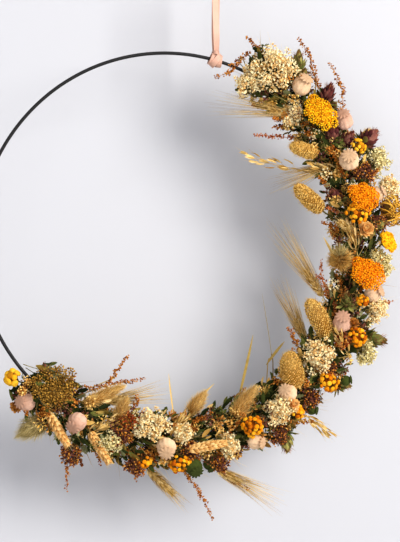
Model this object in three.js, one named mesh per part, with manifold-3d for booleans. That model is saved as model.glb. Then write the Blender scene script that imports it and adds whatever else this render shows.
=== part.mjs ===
// A dried flower wreath on a steel hoop, hung from a ribbon.
//
// The hoop stands in the XZ plane and faces -Y, with +Z up. The origin is the inside top of
// the ribbon's loop, where a hook carries the wreath. Places on the wreath are given as a
// clock angle (degrees clockwise from the top, seen from the front), how far out from the
// rod's middle line, and how far in front of it. Every flower has a stem that runs along
// the rod under the binding wire and then bends out to its head.

import * as THREE from 'three';
import * as BufferGeometryUtils from 'three/addons/utils/BufferGeometryUtils.js';
import Module from 'manifold-3d';

const wasm = await Module();
wasm.setup();

// Driving dimensions, in millimetres and degrees.
const HOOP_OUTER = 400;
const ROD = 3.5;
const KNOT_CLOCK = 14;
const RIBBON_REACH = 100; // from the rod's middle line up to the inside of the loop
const RIBBON_WIDTH = 8;
const RIBBON_THICK = 0.6;
const STEM_RADIUS = 0.8;
const STEM_RUNS = [40, 28, 16]; // bound lengths of a stem, the longest that fits being used
const LANES = 10; // stems lie side by side round the rod
const BINDING_RADIUS = 0.4;
const BINDING_PITCH = 24;
const FLOWERS_FROM = 21; // clock angles between which the rod is bound
const FLOWERS_TO = 229;
const GAP = 0.35; // air kept between neighbouring pieces

const HOOP_RADIUS = (HOOP_OUTER - ROD) / 2;
const LANE_RADIUS = ROD / 2 + STEM_RADIUS + 1.1;
const BINDING_AT = LANE_RADIUS + STEM_RADIUS + BINDING_RADIUS + 0.4;
const CORE_RADIUS = BINDING_AT + BINDING_RADIUS + 1.5 * GAP; // heads stay outside this sleeve
const ARC_PER_DEGREE = (HOOP_RADIUS * Math.PI) / 180;
const FRONT = new THREE.Vector3(0, -1, 0);

const radians = THREE.MathUtils.degToRad;
const knot = radians(KNOT_CLOCK);
const HOOP_CENTRE = new THREE.Vector3(
  -HOOP_RADIUS * Math.sin(knot),
  0,
  -RIBBON_REACH - HOOP_RADIUS * Math.cos(knot),
);

// Outlines of the heads, as [share of the length from the base, share of the radius].
const ROUND = [[0, 0], [0.08, 0.5], [0.32, 0.95], [0.62, 1], [0.9, 0.6], [1, 0]];
const UMBEL = [[0, 0], [0.12, 0.12], [0.6, 0.85], [0.78, 1], [0.93, 0.8], [1, 0]];
const POD = [[0, 0], [0.08, 0.42], [0.34, 0.96], [0.58, 0.94], [0.8, 0.4], [0.86, 0.62], [1, 0.5], [1, 0]];
const BUD = [[0, 0], [0.08, 0.6], [0.34, 1], [0.62, 0.78], [0.85, 0.4], [1, 0]];
const EGG = [[0, 0], [0.06, 0.5], [0.3, 1], [0.6, 0.85], [0.88, 0.45], [1, 0]];
const EAR = [[0, 0], [0.08, 0.7], [0.35, 1], [0.75, 0.75], [1, 0]];
const SPRAY = [[0, 0], [0.1, 0.6], [0.4, 1], [0.8, 0.5], [1, 0]];
const DISC = [[0, 0], [0.3, 0.45], [0.55, 1], [0.85, 0.9], [1, 0]];
const BLADE = [[0, 0], [0.1, 0.7], [0.5, 1], [1, 0]];

// Each plant's colour, outline, sides round its head and flatness. Firm heads come first:
// where two heads press on each other, the one of the later plant gives way.
const PLANTS = {
  poppy_pod: { colour: 0xcbb49a, outline: POD, sides: 9 },
  yarrow: { colour: 0xe09a1c, outline: UMBEL, sides: 9 },
  tansy: { colour: 0xe8860f, outline: ROUND, sides: 7 },
  safflower: { colour: 0x5b4a3c, outline: BUD, sides: 7 },
  strawflower: { colour: 0xd9a066, outline: DISC, sides: 7 },
  wheat: { colour: 0xd9a766, outline: EAR, sides: 6 },
  canary_grass: { colour: 0xb98a45, outline: EGG, sides: 7 },
  bunny_tail: { colour: 0xc79652, outline: EGG, sides: 7 },
  thistle: { colour: 0xb38a4a, outline: DISC, sides: 8 },
  wild_carrot: { colour: 0x6b5424, outline: UMBEL, sides: 10 },
  barley: { colour: 0xd8bf86, outline: EAR, sides: 5 },
  oats: { colour: 0xd9c08a, outline: SPRAY, sides: 5 },
  sorrel: { colour: 0x8a4a22, outline: SPRAY, sides: 5 },
  statice: { colour: 0xe2d8b4, outline: ROUND, sides: 9 },
  oregano: { colour: 0x4a2a38, outline: ROUND, sides: 7 },
  grass_blade: { colour: 0xcbb27a, outline: BLADE, sides: 4, flat: 0.35 },
};

// Every flower: plant, clock angle, out and front of the middle of its head, the clock
// direction that it points in, its lean towards the front, its length and its width.
const FLOWERS = [
  ['poppy_pod', 39, 16, 22, 20, 45, 24, 20],
  ['poppy_pod', 54, 25, 22, 330, 40, 23, 19],
  ['poppy_pod', 64, 6, 30, 320, 60, 24, 21],
  ['poppy_pod', 103, 22, 18, 60, 40, 22, 18],
  ['poppy_pod', 114, -4, 26, 340, 50, 24, 20],
  ['poppy_pod', 142, -6, 26, 300, 45, 23, 18],
  ['poppy_pod', 157, 21, 20, 100, 45, 20, 16],
  ['poppy_pod', 175, 29, 20, 160, 55, 20, 18],
  ['poppy_pod', 183, 7, 28, 200, 60, 23, 20],
  ['poppy_pod', 210, 6, 28, 230, 40, 23, 19],
  ['poppy_pod', 224, 20, 16, 280, 40, 22, 18],
  ['yarrow', 48, 2, 32, 25, 55, 17, 38],
  ['yarrow', 76, 6, 33, 350, 60, 14, 32],
  ['yarrow', 89, 28, 24, 60, 50, 12, 22],
  ['yarrow', 99, 4, 34, 10, 55, 17, 38],
  ['tansy', 80, -4, 36, 350, 50, 18, 26],
  ['tansy', 116, 18, 24, 70, 40, 22, 22],
  ['tansy', 131, 17, 26, 60, 50, 20, 24],
  ['tansy', 157, 2, 32, 160, 60, 22, 25],
  ['tansy', 179, 24, 22, 170, 40, 16, 24],
  ['tansy', 231, 13, 8, 300, 20, 18, 18],
  ['safflower', 35, 36, 10, 2, 10, 24, 15],
  ['safflower', 46, 31, 16, 12, 20, 24, 15],
  ['safflower', 62, 48, 0, 45, 5, 26, 19],
  ['safflower', 114, 44, 2, 95, 5, 28, 18],
  ['safflower', 149, 40, 6, 175, 10, 24, 15],
  ['strawflower', 85, 2, 36, 10, 65, 9, 20],
  ['wheat', 171, 8, 32, 80, 10, 42, 13],
  ['wheat', 201, 20, 24, 150, 15, 40, 13],
  ['wheat', 213, 22, 22, 150, 15, 42, 13],
  ['canary_grass', 54, -28, 18, 288, 5, 30, 14],
  ['canary_grass', 71, -44, 10, 310, 5, 40, 17],
  ['canary_grass', 116, -27, 20, 326, 10, 48, 20],
  ['canary_grass', 136, -20, 22, 345, 15, 40, 24],
  ['bunny_tail', 155, -22, 18, 38, 5, 38, 17],
  ['bunny_tail', 170, -34, 2, 38, 0, 28, 15],
  ['bunny_tail', 205, -31, 12, 66, 0, 48, 15],
  ['bunny_tail', 218, 34, 4, 240, 5, 32, 26],
  ['thistle', 94, -22, 24, 345, 35, 22, 30],
  ['wild_carrot', 81, 41, 14, 80, 65, 16, 36],
  ['wild_carrot', 221, -9, 22, 340, 50, 22, 50],
  ['barley', 40, -17, 16, 276, 0, 36, 10],
  ['barley', 104, -40, 4, 325, 0, 36, 10],
  ['barley', 182, 46, -5, 135, 0, 42, 9],
  ['oats', 52, -57, 0, 284, 0, 56, 14],
  ['sorrel', 18, -4, 8, 236, 10, 38, 9],
  ['sorrel', 37, 50, -6, 338, -5, 46, 10],
  ['sorrel', 48, 47, -9, 346, -5, 64, 10],
  ['sorrel', 46, -37, 8, 270, 0, 60, 9],
  ['sorrel', 173, 64, -6, 151, -5, 56, 9],
  ['statice', 30, 8, 18, 350, 35, 44, 50],
  ['statice', 68, 40, 0, 60, 0, 28, 30],
  ['statice', 127, -6, 24, 310, 30, 30, 34],
  ['statice', 188, -12, 22, 350, 30, 30, 36],
  ['oregano', 206, 34, 0, 210, 0, 26, 28],
  ['grass_blade', 129, -63, -2, 352, 0, 80, 7],
];

// Unit vectors on the wreath at a clock angle: outwards, and clockwise along the rod.
function outwards(clock) {
  return new THREE.Vector3(Math.sin(radians(clock)), 0, Math.cos(radians(clock)));
}

function clockwise(clock) {
  return new THREE.Vector3(Math.cos(radians(clock)), 0, -Math.sin(radians(clock)));
}

function clockOf(point) {
  const clock = THREE.MathUtils.radToDeg(Math.atan2(point.x - HOOP_CENTRE.x, point.z - HOOP_CENTRE.z));
  return (clock + 360) % 360;
}

function clockAt(arc) {
  return FLOWERS_FROM + arc / ARC_PER_DEGREE;
}

function place(clock, out, front) {
  return HOOP_CENTRE.clone()
    .addScaledVector(outwards(clock), HOOP_RADIUS + out)
    .addScaledVector(FRONT, front);
}

// A point at a distance from the rod's middle line, turned round it from outwards to front.
function roundRod(clock, turn, distance) {
  return place(clock, distance * Math.cos(turn), distance * Math.sin(turn));
}

function direction(points, lean) {
  return outwards(points)
    .multiplyScalar(Math.cos(radians(lean)))
    .addScaledVector(FRONT, Math.sin(radians(lean)));
}

// A closed three.js geometry as a solid that can be cut and joined.
function solid(geometry) {
  geometry.deleteAttribute('normal');
  geometry.deleteAttribute('uv');
  const merged = BufferGeometryUtils.mergeVertices(geometry, 1e-4);
  const triangles = [];
  const index = merged.index.array;
  for (let i = 0; i < index.length; i += 3) {
    const [a, b, c] = [index[i], index[i + 1], index[i + 2]];
    if (a !== b && b !== c && c !== a) {
      triangles.push(a, b, c);
    }
  }
  return new wasm.Manifold(new wasm.Mesh({
    numProp: 3,
    vertProperties: new Float32Array(merged.attributes.position.array),
    triVerts: new Uint32Array(triangles),
  }));
}

function polygon(sides, width, height) {
  const shape = new THREE.Shape();
  for (let i = 0; i < sides; i += 1) {
    const turn = (2 * Math.PI * i) / sides;
    const corner = [0.5 * width * Math.cos(turn), 0.5 * height * Math.sin(turn)];
    if (i === 0) {
      shape.moveTo(...corner);
    } else {
      shape.lineTo(...corner);
    }
  }
  shape.closePath();
  return shape;
}

function tube(curve, steps, sides, width, height = width) {
  return solid(new THREE.ExtrudeGeometry(polygon(sides, width, height), {
    steps,
    extrudePath: curve,
    bevelEnabled: false,
  }));
}

// A full ring of round section about the hoop's centre.
function ring(sectionRadius, sides, steps) {
  const profile = [];
  for (let i = 0; i <= sides; i += 1) {
    const turn = (2 * Math.PI * i) / sides;
    profile.push(new THREE.Vector2(
      HOOP_RADIUS + sectionRadius * Math.cos(turn),
      sectionRadius * Math.sin(turn),
    ));
  }
  const geometry = new THREE.LatheGeometry(profile, steps);
  geometry.translate(HOOP_CENTRE.x, 0, HOOP_CENTRE.z);
  return solid(geometry);
}

// The head of a flower with its base at `base`, grown by `extra` all round.
function head(plant, flower, extra = 0) {
  const length = flower.length + 2 * extra;
  const radius = flower.width / 2 + extra;
  const profile = plant.outline.map(([along, across]) => (
    new THREE.Vector2(radius * across, length * along - extra)
  ));
  const geometry = new THREE.LatheGeometry(profile, plant.sides);
  geometry.scale(1, 1, plant.flat ?? 1);
  const up = new THREE.Vector3(0, 1, 0);
  geometry.applyQuaternion(new THREE.Quaternion().setFromUnitVectors(up, flower.points));
  geometry.translate(flower.base.x, flower.base.y, flower.base.z);
  return solid(geometry);
}

// Where the binding wire lies round the rod, at an arc length from its start.
function bindingTurn(arc) {
  return (2 * Math.PI * arc) / BINDING_PITCH;
}

// The arc length nearest to `arc` at which the binding wire is on the rod's other side.
function betweenTurns(arc, turn) {
  const phase = turn / (2 * Math.PI) + 0.5;
  return BINDING_PITCH * (Math.round(arc / BINDING_PITCH - phase) + phase);
}

// The points of a stem: inside its head, out of its base, onto the rod and along it.
function stemPoints(flower, turn, { way, run, shift, slope }) {
  const deep = flower.base.clone().addScaledVector(flower.points, 0.45 * flower.length);
  const wanted = flower.arc + way * (Math.max(slope * flower.off, 12) + shift * BINDING_PITCH);
  const onto = betweenTurns(wanted, turn) + 3 * way;
  const points = [deep, flower.base];
  for (const along of [0, 0.5, 1]) {
    points.push(roundRod(clockAt(onto + way * along * run), turn, LANE_RADIUS));
  }
  return points;
}

// Whether a stem's points keep clear of another round piece's points, and of the rod.
function apart(stem, other) {
  const least = STEM_RADIUS + other.radius + 1.6 * GAP;
  return stem.every((p) => other.points.every((q) => p.distanceTo(q) > least));
}

// Whether a stem's end lies within the bound stretch of the rod.
function isBound(end) {
  const clock = clockOf(end);
  return clock > FLOWERS_FROM && clock < FLOWERS_TO;
}

function clearsRod(stem) {
  return stem.every((p) => {
    const across = Math.hypot(p.x - HOOP_CENTRE.x, p.z - HOOP_CENTRE.z) - HOOP_RADIUS;
    return Math.hypot(across, p.y) > ROD / 2 + STEM_RADIUS + GAP;
  });
}

// Ways for a stem to lie, best first: which way it runs, how far, by how many turns of the
// wire it is shifted, and how slowly it comes in to the rod.
function stemChoices(usual) {
  const choices = [];
  for (const way of [usual, -usual]) {
    for (const run of STEM_RUNS) {
      for (const shift of [0, 1, -1, 2]) {
        for (const slope of [0.9, 0.5, 1.4]) {
          choices.push({ way, run, shift, slope });
        }
      }
    }
  }
  return choices;
}

// The way for a stem that touches the fewest of the stems laid so far, and never the rod or
// the binding wire. Lanes near the flower are tried first.
function layStem(flower, laid) {
  const tangent = clockwise(flower.clock);
  const runsBack = flower.clock > 213 || flower.points.dot(tangent) > 0.5;
  const nearest = Math.round((flower.turn * LANES) / (2 * Math.PI));
  let best = null;
  for (const choice of stemChoices(runsBack ? -1 : 1)) {
    for (const step of [0, 1, -1, 2, -2, 3, -3]) {
      const turn = (2 * Math.PI * (nearest + step)) / LANES;
      const curve = new THREE.CatmullRomCurve3(
        stemPoints(flower, turn, choice),
        false,
        'centripetal',
      );
      const points = curve.getSpacedPoints(60);
      if (clearsRod(points) && isBound(points.at(-1)) && apart(points, bindingRoom)) {
        const crossed = laid.filter((other) => !apart(points, other)).length;
        if (best === null || crossed < best.crossed) {
          best = { curve, crossed, points, radius: STEM_RADIUS };
        }
        if (crossed === 0) {
          return best;
        }
      }
    }
  }
  return best;
}

function largest(shape) {
  const bodies = shape.decompose();
  return bodies.reduce((best, body) => (body.volume() > best.volume() ? body : best));
}

function touching(a, b) {
  const p = a.boundingBox();
  const q = b.boundingBox();
  return [0, 1, 2].every((k) => p.min[k] < q.max[k] && q.min[k] < p.max[k]);
}

function cut(shape, tools) {
  return tools.filter((tool) => touching(shape, tool)).reduce((s, tool) => s.subtract(tool), shape);
}

const group = new THREE.Group();

function add(name, shape, colour, roughness, metalness = 0) {
  const mesh = shape.getMesh();
  const geometry = new THREE.BufferGeometry();
  geometry.setAttribute('position', new THREE.BufferAttribute(mesh.vertProperties, 3));
  geometry.setIndex(new THREE.BufferAttribute(mesh.triVerts, 1));
  geometry.computeVertexNormals();
  const material = new THREE.MeshStandardMaterial({ color: colour, roughness, metalness });
  const piece = new THREE.Mesh(geometry, material);
  piece.name = name;
  group.add(piece);
}

// The steel hoop.
add('hoop', ring(ROD / 2, 8, 72), 0x15161a, 0.4, 0.6);

// The ribbon: up from the knot in front, over the hook and down behind.
const STRAND_FRONT = 3.2;
const LOOP_RISE = 5;
const KNOT_TOP = 8.5; // top of the knot above the rod's middle line
const strandFoot = KNOT_TOP + GAP - RIBBON_REACH;
const ribbonRoute = new THREE.CatmullRomCurve3([
  new THREE.Vector3(0.2, -2.2, strandFoot),
  new THREE.Vector3(0.2, -2.9, strandFoot + 14),
  new THREE.Vector3(-0.6, -STRAND_FRONT, -50),
  new THREE.Vector3(-1.0, -STRAND_FRONT, -20),
  new THREE.Vector3(-0.6, -STRAND_FRONT, -LOOP_RISE),
  new THREE.Vector3(-0.3, -0.75 * STRAND_FRONT, -0.28 * LOOP_RISE),
  new THREE.Vector3(0, 0, RIBBON_THICK / 2),
  new THREE.Vector3(0.3, 0.75 * STRAND_FRONT, -0.28 * LOOP_RISE),
  new THREE.Vector3(0.6, STRAND_FRONT, -LOOP_RISE),
  new THREE.Vector3(1.4, STRAND_FRONT, -20),
  new THREE.Vector3(1.0, STRAND_FRONT, -50),
  new THREE.Vector3(0.2, 2.9, strandFoot + 14),
  new THREE.Vector3(0.2, 2.2, strandFoot),
], false, 'centripetal');

// The ribbon's section keeps its width along X, whatever way its route bends.
function strap(curve, steps, width, thick) {
  const outline = [[-0.5, -0.3], [-0.4, -0.5], [0.4, -0.5], [0.5, -0.3]];
  const section = outline.concat(outline.map(([u, v]) => [-u, -v]));
  const sides = section.length;
  const across = new THREE.Vector3(1, 0, 0);
  const positions = [];
  const index = [];
  for (let i = 0; i <= steps; i += 1) {
    const along = curve.getTangentAt(i / steps);
    const normal = new THREE.Vector3().crossVectors(along, across).normalize();
    for (const [u, v] of section) {
      const corner = curve.getPointAt(i / steps)
        .addScaledVector(across, u * width)
        .addScaledVector(normal, v * thick);
      positions.push(corner.x, corner.y, corner.z);
    }
  }
  for (let i = 0; i < steps; i += 1) {
    for (let j = 0; j < sides; j += 1) {
      const [a, b] = [i * sides + j, i * sides + ((j + 1) % sides)];
      index.push(a, b, b + sides, a, b + sides, a + sides);
    }
  }
  for (let j = 1; j + 1 < sides; j += 1) {
    const last = steps * sides;
    index.push(0, j + 1, j, last, last + j, last + j + 1);
  }
  const geometry = new THREE.BufferGeometry();
  geometry.setAttribute('position', new THREE.Float32BufferAttribute(positions, 3));
  geometry.setIndex(index);
  return solid(geometry);
}

const RIBBON_STEPS = 30;
add('hanging_ribbon', strap(ribbonRoute, RIBBON_STEPS, RIBBON_WIDTH, RIBBON_THICK), 0xf2cdb6, 0.5);

// The knot is gathered round the rod; its hole is the rod's own, a little larger.
function knotSolid(extra) {
  const geometry = new THREE.SphereGeometry(1, 12, 8);
  geometry.scale(7.5 + extra, 6 + extra, KNOT_TOP + extra);
  geometry.translate(0, 0, -RIBBON_REACH);
  return solid(geometry);
}

add('ribbon_knot', knotSolid(0).subtract(ring(ROD / 2 + GAP, 8, 72)), 0xf0d0c4, 0.6);

// The binding wire is wound round the rod and the stems in one helix.
class Binding extends THREE.Curve {
  getPoint(t, target = new THREE.Vector3()) {
    const arc = t * (FLOWERS_TO - FLOWERS_FROM) * ARC_PER_DEGREE;
    return target.copy(roundRod(clockAt(arc), bindingTurn(arc), BINDING_AT));
  }
}

const bindingLength = (FLOWERS_TO - FLOWERS_FROM) * ARC_PER_DEGREE;
const binding = new Binding();
const bindingSteps = Math.round((bindingLength / BINDING_PITCH) * 6);
add('binding_wire', tube(binding, bindingSteps, 4, 2 * BINDING_RADIUS), 0x3c4a30, 0.6, 0.5);

// The flowers, each with the place of its head worked out from its row in the table.
const counts = {};
const flowers = FLOWERS.map(([kind, clock, out, front, points, lean, length, width]) => {
  counts[kind] = (counts[kind] ?? 0) + 1;
  const aim = direction(points, lean);
  const base = place(clock, out, front).addScaledVector(aim, -length / 2);
  const from = base.clone().sub(HOOP_CENTRE);
  const baseOut = Math.hypot(from.x, from.z) - HOOP_RADIUS;
  return {
    name: `${kind}_${counts[kind]}`,
    kind,
    clock: clockOf(base),
    arc: (clockOf(base) - FLOWERS_FROM) * ARC_PER_DEGREE,
    off: Math.hypot(baseOut, from.y),
    turn: Math.atan2(-from.y, baseOut),
    points: aim,
    base,
    length,
    width,
  };
});

const STEM_SIDES = 4;
const STEM_STEPS = 9;
const bindingRoom = { points: binding.getPoints(16 * bindingSteps), radius: BINDING_RADIUS };
const laid = [];
for (const flower of flowers) {
  const way = layStem(flower, laid);
  laid.push(way);
  const stem = tube(way.curve, STEM_STEPS, STEM_SIDES, 2 * STEM_RADIUS);
  flower.stem = cut(stem, flowers.map((other) => other.stemRoom).filter(Boolean));
  flower.stemRoom = tube(way.curve, STEM_STEPS, STEM_SIDES, 2 * (STEM_RADIUS + 1.6 * GAP));
  flower.head = head(PLANTS[flower.kind], flower);
  flower.headRoom = head(PLANTS[flower.kind], flower, 1.3 * GAP);
}

const CORE_SIDES = 8;
const coreCorner = CORE_RADIUS / Math.cos(Math.PI / CORE_SIDES);
const core = [ring(coreCorner, CORE_SIDES, 72), knotSolid(GAP)];
const order = Object.keys(PLANTS);
flowers.sort((a, b) => order.indexOf(a.kind) - order.indexOf(b.kind));
flowers.forEach((flower, i) => {
  const stems = flowers.filter((other) => other !== flower).map((other) => other.stemRoom);
  const heads = flowers.slice(0, i).map((other) => other.headRoom);
  const trimmed = cut(flower.head, [...core, ...stems, ...heads]);
  const { colour } = PLANTS[flower.kind];
  add(flower.name, largest(trimmed.add(flower.stem)), colour, 0.9);
});

export default group;
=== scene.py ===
# The finish of a dried flower wreath: its hoop, ribbon, stems, heads, leaves and light.
import math

import bpy
import numpy as np
from mathutils import Matrix, Vector


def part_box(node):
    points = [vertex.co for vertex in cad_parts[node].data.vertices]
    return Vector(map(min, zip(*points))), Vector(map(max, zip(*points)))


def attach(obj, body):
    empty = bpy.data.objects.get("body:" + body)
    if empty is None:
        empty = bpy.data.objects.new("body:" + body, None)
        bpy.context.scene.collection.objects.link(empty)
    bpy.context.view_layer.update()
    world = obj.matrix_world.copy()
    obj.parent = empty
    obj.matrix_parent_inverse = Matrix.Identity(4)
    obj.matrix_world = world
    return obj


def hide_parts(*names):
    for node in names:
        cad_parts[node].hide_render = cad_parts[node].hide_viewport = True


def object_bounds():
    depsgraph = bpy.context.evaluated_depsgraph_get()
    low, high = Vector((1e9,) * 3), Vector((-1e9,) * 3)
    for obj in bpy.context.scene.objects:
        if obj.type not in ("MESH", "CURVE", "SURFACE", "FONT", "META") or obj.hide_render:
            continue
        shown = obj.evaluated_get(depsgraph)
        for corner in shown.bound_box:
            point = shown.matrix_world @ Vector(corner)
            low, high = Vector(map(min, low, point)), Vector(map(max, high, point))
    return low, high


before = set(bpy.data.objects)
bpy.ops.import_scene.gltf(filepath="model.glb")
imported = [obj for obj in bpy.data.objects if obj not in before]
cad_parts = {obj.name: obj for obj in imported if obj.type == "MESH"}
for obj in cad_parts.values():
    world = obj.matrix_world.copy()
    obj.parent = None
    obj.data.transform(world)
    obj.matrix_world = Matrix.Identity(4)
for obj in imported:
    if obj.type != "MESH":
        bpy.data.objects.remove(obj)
cad_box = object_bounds()
bpy.ops.object.select_all(action="DESELECT")

MM = 0.001

# Fine hairs and tips stand this far out of the solids' box at most, in metres.
PROUD = np.array([0.010, 0.009, 0.014])
REACH_LOW = np.array(cad_box[0]) - PROUD
REACH_HIGH = np.array(cad_box[1]) + PROUD * [1, 1, 0]

# The hoop, measured from its own solid; everything else is placed from it, in millimetres.
hoop_low, hoop_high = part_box("hoop")
ROD = (hoop_high[1] - hoop_low[1]) / MM
HOOP_RADIUS = ((hoop_high[0] - hoop_low[0]) / MM - ROD) / 2
HOOP_CENTRE = np.array([
    (hoop_low[0] + hoop_high[0]) / 2 / MM,
    0.0,
    (hoop_low[2] + hoop_high[2]) / 2 / MM,
])
FRONT = np.array([0.0, -1.0, 0.0])
FLOWERS_FROM = 21
FLOWERS_TO = 229
BOUND_RADIUS = 3.6  # stems lie this far from the middle of the rod
STEM_RUN = 46


# ---------------------------------------------------------------- places on the wreath

def outwards(clock):
    turn = math.radians(clock)
    return np.array([math.sin(turn), 0.0, math.cos(turn)])


def clockwise(clock):
    turn = math.radians(clock)
    return np.array([math.cos(turn), 0.0, -math.sin(turn)])


def place(clock, out, front):
    """A point at a clock angle, out from the middle of the rod and in front of it."""
    return HOOP_CENTRE + outwards(clock) * (HOOP_RADIUS + out) + FRONT * front


def direction(points, lean):
    """A unit vector that points at a clock direction and leans towards the front."""
    lean = math.radians(lean)
    return outwards(points) * math.cos(lean) + FRONT * math.sin(lean)


# ---------------------------------------------------------------- camera

VIEW_FROM = -14  # degrees round from straight in front
VIEW_DISTANCE = 1.7
VIEW_HEIGHT = 0.558
VIEW_RIGHT = 30.5  # the middle of the view, from the hoop's centre
VIEW_DOWN = 26.0

view_turn = math.radians(VIEW_FROM)
view_right = np.array([math.cos(view_turn), math.sin(view_turn), 0.0])
view_back = np.array([math.sin(view_turn), -math.cos(view_turn), 0.0])
aim_at = (HOOP_CENTRE + view_right * VIEW_RIGHT + np.array([0, 0, -VIEW_DOWN])) * MM
bpy.ops.object.camera_add(location=aim_at + view_back * VIEW_DISTANCE)
camera = bpy.context.active_object
camera.name = "camera"
camera.rotation_mode = "QUATERNION"
camera.rotation_quaternion = Vector(-view_back).to_track_quat("-Z", "Y")
camera.data.sensor_width = 36
camera.data.lens = 18 * VIEW_DISTANCE / (VIEW_HEIGHT / 2)
bpy.context.scene.camera = camera


# ---------------------------------------------------------------- shader groups

def new_group(name, inputs, outputs):
    group = bpy.data.node_groups.new(name, "ShaderNodeTree")
    kinds = {"c": "NodeSocketColor", "f": "NodeSocketFloat", "v": "NodeSocketVector"}
    for title, kind, value in inputs:
        socket = group.interface.new_socket(name=title, in_out="INPUT", socket_type=kinds[kind])
        if value is not None:
            socket.default_value = value
    for title, kind in outputs:
        group.interface.new_socket(name=title, in_out="OUTPUT", socket_type=kinds[kind])
    start = group.nodes.new("NodeGroupInput")
    end = group.nodes.new("NodeGroupOutput")
    return group, start, end


def attribute(nodes, name):
    node = nodes.new("ShaderNodeAttribute")
    node.attribute_type = "GEOMETRY"
    node.attribute_name = name
    return node.outputs["Fac"]


def mixed(tree, factor, first, second, blend="MIX"):
    node = tree.nodes.new("ShaderNodeMix")
    node.data_type = "RGBA"
    node.blend_type = blend
    for socket, value in ((node.inputs[0], factor), (node.inputs[6], first), (node.inputs[7], second)):
        if hasattr(value, "is_output"):
            tree.links.new(value, socket)
        else:
            socket.default_value = value
    return node.outputs[2]


def ranged(tree, value, low, high, to_low=0.0, to_high=1.0):
    node = tree.nodes.new("ShaderNodeMapRange")
    tree.links.new(value, node.inputs["Value"])
    node.inputs["From Min"].default_value = low
    node.inputs["From Max"].default_value = high
    node.inputs["To Min"].default_value = to_low
    node.inputs["To Max"].default_value = to_high
    return node.outputs["Result"]


def object_noise(tree, scale, detail=3.0):
    place_node = tree.nodes.new("ShaderNodeTexCoord")
    noise = tree.nodes.new("ShaderNodeTexNoise")
    noise.inputs["Detail"].default_value = detail
    if hasattr(scale, "is_output"):
        tree.links.new(scale, noise.inputs["Scale"])
    else:
        noise.inputs["Scale"].default_value = scale
    tree.links.new(place_node.outputs["Object"], noise.inputs["Vector"])
    return noise.outputs["Fac"]


def make_dried_tone():
    """Colour that changes from one floret to the next, along each one, and in soft blotches; where a head
    sets a floret's tint by its place, the tint is painted shade and highlight.
    """
    group, start, end = new_group(
        "dried_tone",
        [("Base", "c", None), ("Light", "c", None), ("Dark", "c", None), ("Tip", "c", None),
         ("Tip amount", "f", 0.0), ("Mottle scale", "f", 300.0)],
        [("Color", "c")],
    )
    tint = attribute(group.nodes, "tint")
    along = attribute(group.nodes, "along")
    # A low tint darkens and a high one lightens. Most copies get a random tone. Where tuft_of, yarrow, the
    # tansy and nest cores and the backing leaves set the tint, it is painted shade and highlight.
    lighter = ranged(group, tint, 0.45, 1.0)
    darker = ranged(group, tint, 0.4, 0.0)
    tone = mixed(group, lighter, start.outputs["Base"], start.outputs["Light"])
    tone = mixed(group, darker, tone, start.outputs["Dark"])
    blotch = object_noise(group, start.outputs["Mottle scale"])
    tone = mixed(group, ranged(group, blotch, 0.5, 0.8, 0.0, 0.55), tone, start.outputs["Dark"])
    tipped = group.nodes.new("ShaderNodeMath")
    tipped.operation = "MULTIPLY"
    group.links.new(ranged(group, along, 0.45, 1.0), tipped.inputs[0])
    group.links.new(start.outputs["Tip amount"], tipped.inputs[1])
    tone = mixed(group, tipped.outputs[0], tone, start.outputs["Tip"])
    group.links.new(tone, end.inputs["Color"])
    return group


def make_dry_surface():
    """Fine wrinkles and pits, as a normal."""
    group, start, end = new_group(
        "dry_surface",
        [("Scale", "f", 900.0), ("Strength", "f", 0.4)],
        [("Normal", "v")],
    )
    height = object_noise(group, start.outputs["Scale"], 4.0)
    bump = group.nodes.new("ShaderNodeBump")
    bump.inputs["Distance"].default_value = 0.0006
    group.links.new(start.outputs["Strength"], bump.inputs["Strength"])
    group.links.new(height, bump.inputs["Height"])
    group.links.new(bump.outputs["Normal"], end.inputs["Normal"])
    return group


DRIED_TONE = make_dried_tone()
DRY_SURFACE = make_dry_surface()


# ---------------------------------------------------------------- materials

def blank_material(name, roughness=0.8, metallic=0.0, **shader_values):
    material = bpy.data.materials.new(name)
    material.use_nodes = True
    shader = material.node_tree.nodes["Principled BSDF"]
    shader.inputs["Roughness"].default_value = roughness
    shader.inputs["Metallic"].default_value = metallic
    for title, value in shader_values.items():
        shader.inputs[title.replace("_", " ")].default_value = value
    return material, material.node_tree, shader


def group_node(tree, group, **values):
    node = tree.nodes.new("ShaderNodeGroup")
    node.node_tree = group
    for title, value in values.items():
        node.inputs[title.replace("_", " ")].default_value = value
    return node


def colour(red, green, blue):
    return (red, green, blue, 1.0)


def dried(name, base, light, dark, tip=None, tip_amount=0.0, bump=0.4, grain=900.0, **values):
    """A dried plant's finish: toned by floret (random tone, and painted shade and highlight where a head sets
    the tint by place), mottled and finely wrinkled.
    """
    material, tree, shader = blank_material(name, **{"Specular_IOR_Level": DRY_SHINE, **values})
    tone = group_node(tree, DRIED_TONE, Base=colour(*base), Light=colour(*light),
                      Dark=colour(*dark), Tip=colour(*(tip or base)), Tip_amount=tip_amount)
    tree.links.new(tone.outputs["Color"], shader.inputs["Base Color"])
    surface = group_node(tree, DRY_SURFACE, Scale=grain, Strength=bump)
    tree.links.new(surface.outputs["Normal"], shader.inputs["Normal"])
    return material


DRY_SHINE = 0.08

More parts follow.
